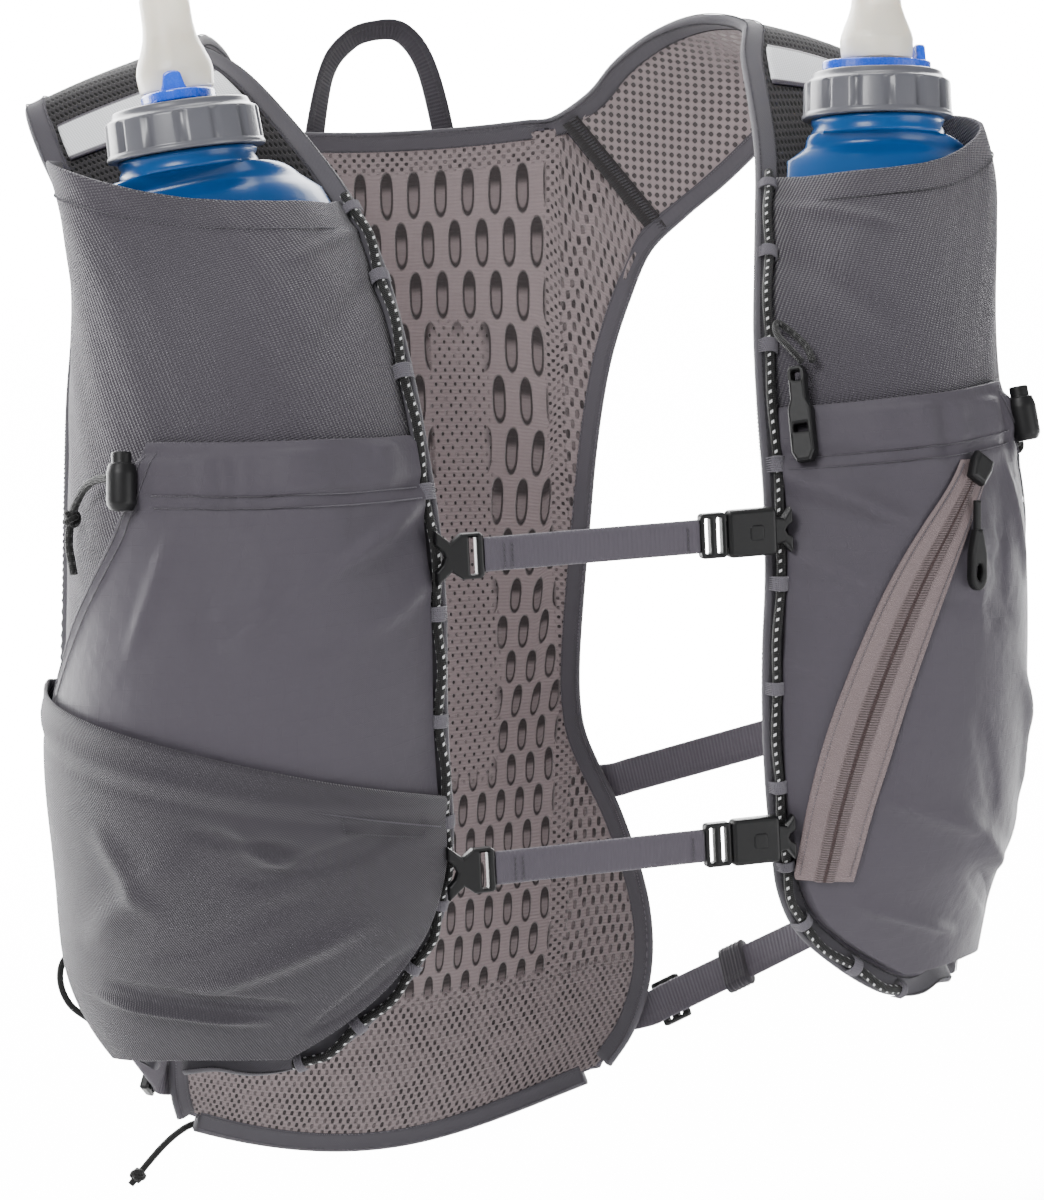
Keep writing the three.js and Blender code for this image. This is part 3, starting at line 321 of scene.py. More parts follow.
def knit_material(name, colour):
    """Stretch knit: slanted ribs of small loops, sizes in millimetres."""
    pitch = 1.15
    g, u, v, base, _ = cloth_graph(name, colour)
    slant = g.add(g.mul(u, 0.9), g.mul(v, 0.42))
    rib = g.wave(slant, pitch)
    cross = g.wave(g.sub(v, g.mul(u, 0.3)), pitch * 0.72)
    loops = g.mul(g.add(rib, 1.0), g.add(cross, 1.4))
    fine = g.noise(2600, 1.0)
    height = g.add(loops, g.mul(fine, 1.2))
    colour_out = g.mix(g.mul(g.step(loops, 0.2, 3.2), 0.5), shade(colour, 0.72), base)
    return finish_cloth(g, colour_out, (0.9, 0.25, 0.25), height, 0.00022, 0.75)


def nylon_material(name, colour):
    """Plain nylon with a ripstop grid, a little crumpled."""
    g, u, v, base, tone = cloth_graph(name, colour, 7.0, 0.1)
    weave = g.mul(g.wave(u, 0.62), g.wave(v, 0.62))
    rip = g.math("MAXIMUM", g.step(g.wave(u, 5.2), 0.975, 1.0), g.step(g.wave(v, 5.2), 0.975, 1.0))
    height = g.add(g.mul(weave, 0.5), g.mul(rip, 0.9))
    soft = g.bump(g.noise(30, 3.0, 0.55), 0.0045, 0.5)
    crumpled = g.bump(g.noise(95, 3.0, 0.6), 0.0014, 0.45, soft)
    g.set(Base_Color=base, Roughness=g.blend(tone, 0.54, 0.70),
          Sheen_Weight=0.04, Sheen_Roughness=0.4, Specular_IOR_Level=0.22)
    g.set(Normal=g.bump(height, 0.00010, 0.5, crumpled))
    return g.material


def lower_material(name, colour):
    """Stretch cloth with a fine twill."""
    g, u, v, base, _ = cloth_graph(name, colour, 8.0)
    slant = g.add(u, g.mul(v, 0.62))
    twill = g.wave(slant, 0.9)
    thread = g.wave(g.sub(v, g.mul(u, 0.5)), 0.7)
    height = g.add(twill, g.mul(thread, 0.5))
    colour_out = g.mix(g.mul(g.step(height, -1.4, 1.2), 0.45), shade(colour, 0.75), base)
    return finish_cloth(g, colour_out, (0.85, 0.2, 0.3), height, 0.00018, 0.6)


def panel_material(name, colour):
    """Plain front cloth below, open black mesh over the shoulder."""
    g, u, v, base, _ = cloth_graph(name, colour)
    weave = g.mul(g.wave(u, 0.8), g.wave(v, 0.8))
    row = g.node("ShaderNodeAttribute", attribute_name="row").outputs["Fac"]
    shoulder = g.step(row, 5.6, 5.45)
    ring = g.mul(g.wave(g.add(u, g.mul(v, 0.5)), 3.0), g.wave(g.sub(u, g.mul(v, 0.5)), 3.0))
    holes = g.step(ring, 0.05, 0.4)
    # the net's threads are near black; its holes are painted darker still, as shade between the net and the
    # lining
    net = g.mix(holes, (0.030, 0.028, 0.030), (0.003, 0.003, 0.003))
    height = g.blend(shoulder, g.mul(weave, 0.2), g.mul(holes, -4.0))
    return finish_cloth(g, g.mix(shoulder, base, net), (0.88, 0.1, 0.25), height, 0.0003, 0.8)


def lattice(g, u, v, wide, tall, inside):
    """Staggered openings: 1 in an opening's middle, 0 between; inside sets how large."""
    cell = g.mul(g.wave(u, wide), g.wave(v, tall))
    return g.step(cell, inside, inside + 0.22)


def slots(g, u, v, wide, tall, share_wide, share_tall):
    """Tall rounded openings in staggered columns, and the lower middle of each, where the cloth behind is
    painted as lit; the upper part is left to painted shade.
    """
    column = g.math("FLOOR", g.math("DIVIDE", u, wide))
    odd = g.math("PINGPONG", column, 1.0)
    down = g.add(v, g.mul(odd, tall / 2))
    x = g.sub(g.math("FRACT", g.math("DIVIDE", u, wide)), 0.5)
    y = g.sub(g.math("FRACT", g.math("DIVIDE", down, tall)), 0.5)
    px = g.math("POWER", g.math("ABSOLUTE", g.math("DIVIDE", x, share_wide / 2)), 2.0)
    py = g.math("POWER", g.math("ABSOLUTE", g.math("DIVIDE", y, share_tall / 2)), 3.0)
    reach = g.add(px, py)
    lit_backing = g.mul(g.step(reach, 0.62, 0.35), g.step(y, -0.1, 0.0))
    return g.step(reach, 1.12, 0.8), lit_backing


def mesh_material(name, colour):
    """The back's inner face: slots down the middle, a net at the sides, small holes between."""
    g, u, v, base, _ = cloth_graph(name, colour, 10.0, 0.1)
    from_middle = g.math("ABSOLUTE", u)
    warp = g.mul(g.sub(g.noise(30, 1.0), 0.5), 1.2)
    spread = g.node("ShaderNodeMapRange")
    for socket, value in zip(spread.inputs, (v, 100.0, 210.0, 1.4, 1.0)):
        g.put(socket, value)
    drawn = g.add(g.mul(v, 1 / 1.4), g.mul(g.math("MAXIMUM", g.sub(v, 160.0), 0.0), 1 - 1 / 1.4))
    aside = g.math("DIVIDE", g.add(u, warp), spread.outputs[0])
    slot, lit_backing = slots(g, aside, drawn, 3.6, 26.4, 0.96, 0.47)
    slot_zone = g.mul(g.step(from_middle, 52, 50.5), g.mul(g.step(v, 9, 11), g.step(v, 312, 308)))
    bare = g.mul(g.mul(g.step(u, 6, 8), g.step(u, 30, 26)), g.mul(g.step(v, 62, 72), g.step(v, 236, 226)))
    sparse = lattice(g, u, v, 3.6, 5.0, 0.55)
    slot = g.blend(bare, slot, sparse)
    dots = lattice(g, u, v, 3.6, 3.6, 0.28)
    nets = lattice(g, from_middle, v, 3.8, 8.4, 0.16)
    net_zone = g.mul(g.step(from_middle, 57, 59), g.step(v, 314, 308))
    foot_zone = g.step(v, 311, 315)
    foot = lattice(g, u, v, 3.0, 4.4, 0.12)
    other = g.blend(net_zone, dots, nets)
    other = g.blend(foot_zone, other, foot)
    hole = g.blend(slot_zone, other, slot)
    # The holes are painted dark as shade. The cloth behind is painted in as lit in the lower middle of each
    # slot and in random patches elsewhere.
    under = g.step(g.noise(170, 2.0), 0.42, 0.6)
    seen = g.blend(slot_zone, g.mul(under, 0.7), lit_backing)
    depth = g.mix(seen, (0.030, 0.024, 0.025), shade(colour, 0.62))
    thread = g.mul(g.wave(g.add(u, g.mul(v, 0.35)), 0.9), g.wave(g.sub(u, g.mul(v, 0.35)), 0.9))
    body = g.mix(g.mul(g.step(thread, -0.7, 0.7), 0.5), shade(colour, 0.82), base)
    height = g.add(g.mul(hole, -6.0), g.mul(thread, 0.35))
    return finish_cloth(g, g.mix(hole, body, depth), (0.9, 0.25, 0.2), height, 0.0004, 0.9)


def lining_material(name, colour):
    """Inner face of the front panels: a net of small holes painted dark as shade, light ones near the crest
    painted pale as light coming through.
    """
    g, u, v, base, _ = cloth_graph(name, colour, 10.0, 0.1)
    row = g.node("ShaderNodeAttribute", attribute_name="row").outputs["Fac"]
    small = lattice(g, u, v, 4.4, 4.4, 0.16)
    wide = lattice(g, u, v, 6.4, 5.0, 0.02)
    crest = g.mul(g.step(row, 1.5, 2.6), g.step(row, 5.2, 4.3))
    hole = g.blend(crest, small, wide)
    # patches of painted light in the holes near the crest; the other holes are painted dark as shade
    light = g.mul(crest, g.step(g.noise(40, 2.0), 0.35, 0.6))
    hole_shade_and_light = g.mix(light, (0.05, 0.042, 0.043), (0.62, 0.56, 0.55))
    thread = g.mul(g.wave(g.add(u, v), 0.9), g.wave(g.sub(u, v), 0.9))
    height = g.add(g.mul(hole, -4.0), g.mul(thread, 0.3))
    return finish_cloth(g, g.mix(hole, base, hole_shade_and_light), (0.9, 0.25, 0.2), height, 0.0004, 0.9)


def outer_mesh_material(name, colour):
    """Outer face of the back: an even net."""
    g, u, v, base, _ = cloth_graph(name, colour, 10.0)
    holes = lattice(g, u, v, 4.0, 3.2, 0.1)
    thread = g.mul(g.wave(g.add(u, v), 0.8), g.wave(g.sub(u, v), 0.8))
    height = g.add(g.mul(holes, -4.0), g.mul(thread, 0.3))
    # the holes are painted dark, as shade inside the net
    return finish_cloth(g, g.mix(holes, base, shade(colour, 0.25)), (0.88, 0.2, 0.25), height, 0.0004, 0.9)


def tape_material(name, colour, rib=0.0, rough=0.8):
    """Woven tape or binding; rib is the pitch of its cross ribs in millimetres, or 0."""
    g, u, v, base, _ = cloth_graph(name, colour, 14.0, 0.1)
    weave = g.mul(g.wave(u, 0.7), g.wave(v, 0.55))
    height = g.mul(weave, 0.6)
    if rib:
        height = g.add(height, g.wave(u, rib))
    return finish_cloth(g, base, (rough, 0.15, 0.3), height, 0.00016, 0.6)


def plastic_material(name, colour, rough, grain=900, coat=0.0, specular=0.5):
    """Moulded plastic or rubber with a fine grain."""
    g = Graph(name)
    spots = g.noise(grain, 2.0)
    wear = g.noise(60, 3.0)
    tint = g.mix(g.mul(wear, 0.5), shade(colour, 0.85), shade(colour, 1.25))
    g.set(Base_Color=tint, Roughness=g.blend(spots, rough - 0.06, rough + 0.1),
          Specular_IOR_Level=specular, Coat_Weight=coat, Coat_Roughness=0.15)
    g.set(Normal=g.bump(spots, 0.00006, 0.35))
    return g.material


def cord_material(name, colour, fleck):
    """Braided cord; flecks of a lighter thread run along it."""
    g = Graph(name)
    u, v = g.uv()
    braid = g.mul(g.wave(g.add(u, g.mul(v, 0.9)), 1.3), g.wave(g.sub(u, g.mul(v, 0.9)), 1.3))
    along = g.math("FRACT", g.math("DIVIDE", g.add(u, g.mul(v, 0.5)), 3.1))
    around = g.math("FRACT", g.math("DIVIDE", v, 3.14))
    dash = g.mul(g.step(along, 0.34, 0.28), g.step(along, 0.0, 0.05))
    track = g.mul(g.step(around, 0.05, 0.12), g.step(around, 0.42, 0.35))
    mark = g.mul(dash, track)
    g.set(Base_Color=g.mix(mark, g.mix(g.step(braid, -0.5, 0.8), shade(colour, 0.6), colour), fleck),
          Roughness=0.75, Specular_IOR_Level=0.35, Sheen_Weight=0.1)
    g.set(Normal=g.bump(braid, 0.0002, 0.8))
    return g.material


def film_material(name, colour):
    """Soft blue film of the flasks, glossy, with faint ripples."""
    g = Graph(name)
    ripple = g.noise(55, 2.0)
    cloud = g.noise(16, 2.0)
    g.set(Base_Color=g.mix(cloud, shade(colour, 0.7), shade(colour, 1.5)), Roughness=0.3,
          Specular_IOR_Level=0.28, Coat_Weight=0.12, Coat_Roughness=0.1,
          Subsurface_Weight=0.12, Subsurface_Scale=0.004)
    g.set(Subsurface_Radius=(0.2, 0.6, 1.0))
    g.set(Normal=g.bump(ripple, 0.0012, 0.18))
    return g.material


def silicone_material(name, colour):
    """Cloudy soft silicone that lets light in."""
    g = Graph(name)
    cloud = g.noise(120, 2.0)
    g.set(Base_Color=g.mix(cloud, shade(colour, 0.92), colour), Roughness=0.35,
          Subsurface_Weight=0.6, Subsurface_Scale=0.008, Specular_IOR_Level=0.45,
          Transmission_Weight=0.25)
    g.set(Subsurface_Radius=(1.0, 0.9, 0.7))
    g.set(Normal=g.bump(cloud, 0.0003, 0.15))
    return g.material


def zip_material(name, colour):
    """Zip tape with its coil down the middle."""
    g, u, v, base, _ = cloth_graph(name, colour, 12.0, 0.1)
    off = g.math("ABSOLUTE", v)
    ribs = g.wave(u, 0.85)
    coil = g.step(off, 2.3, 1.7)
    slit = g.step(off, 0.5, 0.15)
    weave = g.mul(g.wave(u, 0.9), g.wave(v, 0.9))
    colour_out = g.mix(g.mul(coil, g.step(ribs, 0.3, -0.6)), base, shade(colour, 0.45))
    colour_out = g.mix(slit, colour_out, (0.05, 0.03, 0.03))
    height = g.add(g.mul(coil, g.add(ribs, 2.0)), g.mul(weave, 0.4))
    g.set(Base_Color=colour_out, Roughness=0.7, Specular_IOR_Level=0.3)
    g.set(Normal=g.bump(g.sub(height, g.mul(slit, 3.0)), 0.0003, 0.8))
    return g.material


def band_material(name):
    """Silver reflective band with small cells and a plain edge."""
    g = Graph(name)
    u, v = g.uv()
    cells = g.mul(g.wave(g.add(u, v), 1.6), g.wave(g.sub(u, v), 1.6))
    edge = g.node("ShaderNodeAttribute", attribute_name="edge").outputs["Fac"]
    silver = g.mix(g.step(cells, -0.6, 0.6), (0.55, 0.56, 0.58), (0.78, 0.79, 0.81))
    g.set(Base_Color=g.mix(g.step(edge, 0.8, 0.9), silver, shade(GREY, 0.8)), Roughness=0.4,
          Metallic=0.1, Specular_IOR_Level=0.5)
    g.set(Normal=g.bump(cells, 0.0001, 0.4))
    return g.material


BLACK_PLASTIC = (0.004, 0.004, 0.0045)
MATERIAL = {
    "panel": panel_material("front panel cloth", GREY),
    "lining": lining_material("panel lining net", MAUVE),
    "back_inner": mesh_material("back knit mesh", MAUVE),
    "back_outer": outer_mesh_material("back outer mesh", GREY),
    "knit": knit_material("stretch pocket knit", GREY),
    "nylon": nylon_material("pocket nylon", GREY_NYLON),
    "lower": lower_material("low pocket stretch cloth", GREY_LOWER),
    "binding": tape_material("edge binding", GREY_BINDING),
    "webbing": tape_material("woven webbing", GREY, 1.5),
    "web_dark": tape_material("haul loop webbing", shade(GREY, 0.4), 1.4),
    "plastic": plastic_material("moulded black plastic", BLACK_PLASTIC, 0.42, specular=0.3),
    "trim": plastic_material("satin black plastic", BLACK_PLASTIC, 0.45, specular=0.3),
    "rubber": plastic_material("zip puller rubber", BLACK_PLASTIC, 0.5, 500, specular=0.3),
    "cap": plastic_material("flask cap plastic", (0.094, 0.095, 0.110), 0.34, 700, 0.2),
    "lever": plastic_material("lever plastic", BLUE_LEVER, 0.25, 900, 0.4),
    "film": film_material("flask film", BLUE_FILM),
    "silicone": silicone_material("valve silicone", (0.86, 0.82, 0.72)),
    "lace": cord_material("flecked elastic lace", BLACK, (0.65, 0.65, 0.66)),
    "cord": cord_material("black braided cord", BLACK, (0.05, 0.05, 0.05)),
    "zip": zip_material("zip tape and coil", (0.165, 0.128, 0.130)),
    "band": band_material("reflective band"),
    "thread": tape_material("light grey thread", (0.115, 0.108, 0.126), 0.5),
    "thread_dark": tape_material("dark thread", (0.045, 0.042, 0.05), 0.5),
    "seam": tape_material("black overlock seam", (0.018, 0.016, 0.017), 0.9),
}

# meshes


def make_object(name, verts, faces, materials, body="vest", uvs=None, indices=None,
                smooth=True, attributes=None):
    mesh = bpy.data.meshes.new(name)
    mesh.from_pydata([tuple(p) for p in verts], [], [tuple(int(k) for k in f) for f in faces])
    for m in materials:
        mesh.materials.append(MATERIAL[m] if isinstance(m, str) else m)
    if indices is not None:
        mesh.polygons.foreach_set("material_index", np.array(indices, np.int32))
    if uvs is not None:
        layer = mesh.uv_layers.new(name="lengths")
        loops = np.zeros(len(mesh.loops), np.int32)
        mesh.loops.foreach_get("vertex_index", loops)
        layer.data.foreach_set("uv", np.array(uvs, np.float32)[loops].ravel())
    for key, values in (attributes or {}).items():
        layer = mesh.attributes.new(key, "FLOAT", "POINT")
        layer.data.foreach_set("value", np.array(values, np.float32))
    if smooth:
        mesh.polygons.foreach_set("use_smooth", [True] * len(mesh.polygons))
    mesh.update()
    obj = bpy.data.objects.new(name, mesh)
    bpy.context.scene.collection.objects.link(obj)
    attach(obj, body)
    return obj


RIM_BULGE = 0.45
THREAD_END = 0.25


def face_grid(columns, rows, offset, flip):
    i, j = np.meshgrid(np.arange(columns), np.arange(rows))
    a = (j * (columns + 1) + i).ravel() + offset
    quads = np.stack([a, a + 1, a + columns + 2, a + columns + 1], axis=1)
    return quads[:, ::-1] if flip else quads


def cloth(name, point, out, thick, uv, materials, attributes=None):
    """A closed wall of cloth over a grid of points, with rounded edges."""
    rows, columns = point.shape[0] - 1, point.shape[1] - 1
    upper = point + out * thick / 2
    lower = point - out * thick / 2
    n = (rows + 1) * (columns + 1)
    across = point[:, 1:] - point[:, :-1]
    down = point[1:] - point[:-1]
    facing = (np.cross(across[:-1], down[:, :-1]) * out[:-1, :-1]).sum()
    flip = facing < 0
    faces = [face_grid(columns, rows, 0, flip), face_grid(columns, rows, n, not flip)]
    ring = [(0, i) for i in range(columns)] + [(j, columns) for j in range(rows)]
    ring += [(rows, i) for i in range(columns, 0, -1)] + [(j, 0) for j in range(rows, 0, -1)]
    inward = np.zeros_like(point)
    inward[0] += unit(point[1] - point[0])
    inward[-1] += unit(point[-2] - point[-1])
    inward[:, 0] += unit(point[:, 1] - point[:, 0])
    inward[:, -1] += unit(point[:, -2] - point[:, -1])
    rj = np.array([j for j, _ in ring])
    ri = np.array([i for _, i in ring])
    base = rj * (columns + 1) + ri
    middle = point[rj, ri] - unit(inward[rj, ri]) * thick * RIM_BULGE
    m = 2 * n + np.arange(len(ring))
    nxt = np.roll(np.arange(len(ring)), -1)
    side_a = np.stack([base, m, m[nxt], base[nxt]], axis=1)
    side_b = np.stack([m, base + n, base[nxt] + n, m[nxt]], axis=1)
    rim = np.concatenate([side_a, side_b])
    if flip:
        rim = rim[:, ::-1]
    faces.append(rim)
    verts = np.concatenate([upper.reshape(-1, 3), lower.reshape(-1, 3), middle])
    flat = uv.reshape(-1, 2)
    uvs = np.concatenate([flat, flat, flat[base]])
    index = [0] * len(faces[0]) + [1] * len(faces[1]) + [0] * len(rim)
    extra = {}
    for key, values in (attributes or {}).items():
        extra[key] = np.concatenate([values.ravel(), values.ravel(), values.ravel()[base]])
    return make_object(name, verts, np.concatenate(faces), materials, uvs=uvs, indices=index,
                       attributes=extra)


def stations(points, outs):
    """Directions along, across and out of a line at each point."""
    along = unit(np.gradient(points, axis=0))
    wide = unit(np.cross(along, outs))
    return along, wide, unit(np.cross(wide, along))


def ring_quads(count, sides):
    """Quads between rings of points."""
    a = np.arange(count - 1)[:, None] * sides + np.arange(sides)
    b = np.arange(count - 1)[:, None] * sides + (np.arange(sides) + 1) % sides
    return np.stack([a, b, b + sides, a + sides], axis=-1).reshape(-1, 4)


def rings_object(name, rings, uvs, materials):
    """A closed body through rings of points, with flat ends."""
    count, sides = rings.shape[:2]
    faces = [*ring_quads(count, sides), range(sides)[::-1], range((count - 1) * sides, count * sides)]
    return make_object(name, rings.reshape(-1, 3), faces, materials, uvs=uvs.reshape(-1, 2))


def sweep(name, points, outs, section, material, scale=None):
    """A closed section swept along points; section is a list of (wide, out) offsets."""
    _, wide, out = stations(points, outs)
    section = np.array(section, float)
    size = np.ones(len(points)) if scale is None else scale
    grid = (points[:, None] + wide[:, None] * (section[None, :, 0] * size[:, None])[..., None]
            + out[:, None] * (section[None, :, 1] * size[:, None])[..., None])
    k, n = len(points), len(section)
    quads = ring_quads(k, n)
    first, last = range(n), range((k - 1) * n, k * n)
    area = (section[:, 0] * np.roll(section[:, 1], -1) - np.roll(section[:, 0], -1) * section[:, 1]).sum()
    if area < 0:
        faces = [*quads, first[::-1], last]
    else:
        faces = [*quads[:, ::-1], first, last[::-1]]
    run = run_along(points)
    girth = run_along(section)
    us = np.stack(np.meshgrid(run, girth, indexing="ij"), axis=-1).reshape(-1, 2) / MM
    return make_object(name, grid.reshape(-1, 3), faces, [material], uvs=us)


def circle(diameter, sides):
    angle = np.arange(sides) * 2 * math.pi / sides
    return np.stack([np.cos(angle), np.sin(angle)], axis=1) * diameter / 2


def frames_along(points):
    """A steady outward direction for a round cord."""
    along = unit(np.gradient(points, axis=0))
    out = [unit(np.cross(along[0], vec(0.31, 0.27, 0.91)))]
    for k in range(1, len(points)):
        turned = out[-1] - along[k] * (out[-1] @ along[k])
        out.append(unit(turned))
    return np.array(out)


def round_cord(name, points, diameter, material, sides=14):
    return sweep(name, points, frames_along(points), circle(diameter, sides), material)


def tape_section(width, thick, bulge=1.0, sides=5):
    """A flat tape with rounded edges."""
    w, t = width / 2, thick / 2
    turn = np.linspace(-math.pi / 2, math.pi / 2, sides)
    right = [(w - t + math.cos(a) * t, math.sin(a) * t) for a in turn]
    left = [(-w + t - math.cos(a) * t, -math.sin(a) * t) for a in turn]
    middle_top = [(0.33 * w, t * bulge), (-0.33 * w, t * bulge)]
    middle_low = [(-0.33 * w, -t * bulge), (0.33 * w, -t * bulge)]
    return right + middle_top + left + middle_low


def joined(name, pieces, material):
    """One mesh from many small ones given as (verts, faces)."""
    verts, faces, start = [], [], 0
    for v, f in pieces:
        verts.append(v)
        faces.append(np.asarray(f) + start)
        start += len(v)
    verts = np.concatenate(verts)
    uvs = np.stack([verts[:, 0] + verts[:, 1] * 0.4, verts[:, 2]], axis=1) / MM
    return make_object(name, verts, np.concatenate(faces), [material], uvs=uvs)


def small_tube(points, outs, width, height, sides=5):
    """Verts and quads of a thin thread along points, closed by its own taper."""
    _, wide, out = stations(points, outs)
    angle = np.arange(sides) * 2 * math.pi / sides
    size = np.ones(len(points))
    size[0] = size[-1] = THREAD_END
    grid = (points[:, None] + wide[:, None] * (np.cos(angle) * width / 2)[None, :, None] * size[:, None, None]
            + out[:, None] * (np.sin(angle) * height / 2)[None, :, None] * size[:, None, None])
    return grid.reshape(-1, 3), ring_quads(len(points), sides)[:, [0, 3, 2, 1]]


def resample(points, step):
    run = run_along(points)
    count = max(int(run[-1] / step), 1)
    want = np.linspace(0, run[-1], count + 1)
    return np.stack([np.interp(want, run, points[:, k]) for k in range(points.shape[1])], axis=1)


# length of a stitch, gap after it, thickness of its thread
STITCH = {"binding": (.0028, .0012, .0005), "hem": (.0024, .0012, .0006), "pocket": (.0024, .001, .0006),
          "low pocket": (.0026, .0011, .0006), "box": (.002, .0009, .0005),
          "webbing": (.0012, .0004, .0006), "zip": (.0022, .001, .0005)}
STITCH_STEP = 0.0004


def stitch_line(points, outs, kind):
    """Pieces for a row of stitches along points that lie on a surface."""
    stitch, gap, width = STITCH[kind]
    both = resample(np.concatenate([points, outs], axis=1), STITCH_STEP)
    p, o = both[:, :3], unit(both[:, 3:])
    per = max(int(round((stitch + gap) / STITCH_STEP)), 3)
    made = []
    for k in range(0, len(p) - per, per):
        run = int(per * stitch / (stitch + gap))
        pick = np.linspace(k, k + run, 3).astype(int)
        lift = np.array([0.1, 0.6, 0.1])[:, None] * width
        made.append(small_tube(p[pick] + o[pick] * lift, o[pick], width, width, 3))
    return made


# surfaces, the same as the part's own


def grids(across, row):
    return np.broadcast_arrays(np.asarray(across, float), np.asarray(row, float))


def rows(*table):
    return np.array(table, float)


def row_at(table, place):
    """A table's row at a place between its rows, on a smooth curve."""
    last = len(table) - 1
    t = np.clip(place, 0, last - 1e-9)
    k = np.floor(t).astype(int)
    f = (t - k)[..., None]
    p, to = table[k], table[np.minimum(k + 1, last)]
    before = np.where((k > 0)[..., None], table[np.maximum(k - 1, 0)], 2 * p - to)
    after = np.where((k + 2 <= last)[..., None], table[np.minimum(k + 2, last)], 2 * to - p)
    bend = 2 * before - 5 * p + 4 * to - after
    return 0.5 * (2 * p + (to - before) * f + bend * f ** 2 + (3 * p - before - 3 * to + after) * f ** 3)


def smooth(x, low, high):
    t = np.clip((x - low) / (high - low), 0, 1)
    return t * t * (3 - 2 * t)


def mix(a, b, share):
    return a + (b - a) * share


# neck edge x, y, z, armhole edge x, y, z, crown, sway
HARNESS = rows(
    [.363, .64, -.068, .575, .624, -.18, 0, 0], [.438, .4, -.015, .7, .44, -.13, .008, 0],
    [.519, .176, .008, .838, .2, -.07, .016, 0], [.581, -.04, 0, .95, -.04, -.045, .016, 0],
    [.525, -.192, -.025, .963, -.16, -.075, .024, .012],
    [.444, -.48, -.1, .95, -.256, -.13, .032, .031],
    [.388, -.68, -.165, .944, -.304, -.2, .04, .025],
    [.344, -.896, -.265, .944, -.336, -.29, .056, -.006],
    [.325, -1.008, -.4, .969, -.352, -.433, .08, -.012],
    [.319, -.976, -.525, .988, -.352, -.56, .096, -.019],
    [.325, -.92, -.64, 1, -.352, -.65, .1, -.006],
    [.381, -.864, -.72, .981, -.352, -.73, .09, -.012],
    [.544, -.792, -.783, .925, -.4, -.793, .06, 0],
    [.675, -.704, -.805, .863, -.528, -.81, .03, 0])
HARNESS_END = 13
# left edge x, y, z, right edge x, y, z, middle y, z
BACK = rows(
    [.575, .624, -.18, -.575, .624, -.18, .736, -.075],
    [.488, .72, -.265, -.488, .72, -.265, .792, -.21],
    [.438, .76, -.348, -.438, .76, -.348, .816, -.32],
    [.394, .76, -.463, -.394, .76, -.463, .824, -.445],
    [.356, .744, -.575, -.363, .744, -.575, .824, -.57],
    [.356, .696, -.638, -.413, .72, -.643, .816, -.643],
    [.405, .6, -.7, -.525, .688, -.713, .808, -.715],
    [.44, .5, -.775, -.613, .672, -.788, .8, -.795],
    [.438, .472, -.838, -.669, .656, -.863, .8, -.875],
    [.4, .512, -.895, -.681, .648, -.915, .792, -.948],
    [.325, .592, -.945, -.663, .648, -.95, .784, -1.008])
BACK_END = 10
# row, push, near fullness, far fullness
SWELL = rows(
    [4, .95, 5, 7], [5, 1, 5, 6], [6, 1, 4.5, 3.6], [7, 1, 3.6, 2.3], [8, 1, 3.2, 2],
    [9, .93, 3, 2.1], [10, .68, 2.8, 2.2], [11, .38, 2.6, 2.4], [12, .13, 2.6, 2.6],
    [13, .02, 2.6, 2.6])
# row at neck side, row at armhole side, dip, near limit, far limit
BOTTLE_EDGE = rows(
    [5.5, 4.4, .25, 0, .96], [5.9, 5.1, .15, 0, .96], [6.4, 5.95, .05, 0, .96],
    [7, 6.8, 0, 0, .95], [7.7, 7.6, 0, 0, .95], [8.4, 8.4, 0, 0, .87], [9, 9, 0, .02, .82],
    [9.5, 9.5, 0, .06, .78])
FRONT_EDGE = rows(
    [7.32, 7.2, 0, 0, .53], [7.7, 7.6, 0, 0, .6], [8.2, 8.15, 0, 0, .75], [8.9, 8.9, 0, 0, .92],
    [9.6, 9.6, 0, 0, .95], [10.4, 10.4, 0, .01, .95], [11.1, 11.1, 0, .03, .94],
    [11.8, 11.8, 0, .06, .89])
LOWER_EDGE = rows(
    [9.45, 8.45, -.15, 0, .95], [9.9, 9.25, -.08, 0, .95], [10.4, 10.05, 0, .01, .95],
    [10.95, 10.8, 0, .03, .94], [11.4, 11.35, 0, .05, .92], [11.9, 11.9, 0, .08, .88])
# across, row, reach across, reach along, rise as a share of FLASK_DEPTH
FOLDS = rows(
    [.2, 7.5, .07, .5, .035], [.5, 7.55, .07, .5, .03], [.78, 7.6, .06, .5, .035],
    [.22, 9.4, .16, .35, .045], [.6, 10.2, .25, .3, .04])
# row, across
ZIP_LINE = rows([7.62, .345], [7.95, .262], [8.35, .208], [9, .165], [9.7, .13], [10.4, .1])
PANEL_CLEAR = 0.0005
POCKET_BASE = PANEL / 2 + PANEL_CLEAR + GAP + POCKET_KNIT / 2
FRONT_LIFT = (POCKET_KNIT + POCKET_NYLON) / 2 + LAYER_GAP
LOWER_LIFT = FRONT_LIFT + POCKET_NYLON + LAYER_GAP


def harness(row):
    p = row_at(HARNESS, np.asarray(row, float))
    return p[..., 0:3] * MAIN, p[..., 3:6] * MAIN, p[..., 6] * HALF_DEPTH, p[..., 7] * HALF_WIDTH


def panel_width(row):
    neck, arm, _, _ = harness(row)
    return np.linalg.norm(arm - neck, axis=-1)


def panel_point(across, row):
    across, row = grids(across, row)
    neck, arm, crown, _ = harness(row)
    n2, a2, _, _ = harness(np.minimum(row + 0.02, HARNESS_END))
    n1, a1, _, _ = harness(np.maximum(row - 0.02, 0))
    out = unit(np.cross(n2 + a2 - n1 - a1, arm - neck))
    rise = crown * 4 * across * (1 - across)
    return neck + (arm - neck) * across[..., None] + out * rise[..., None]


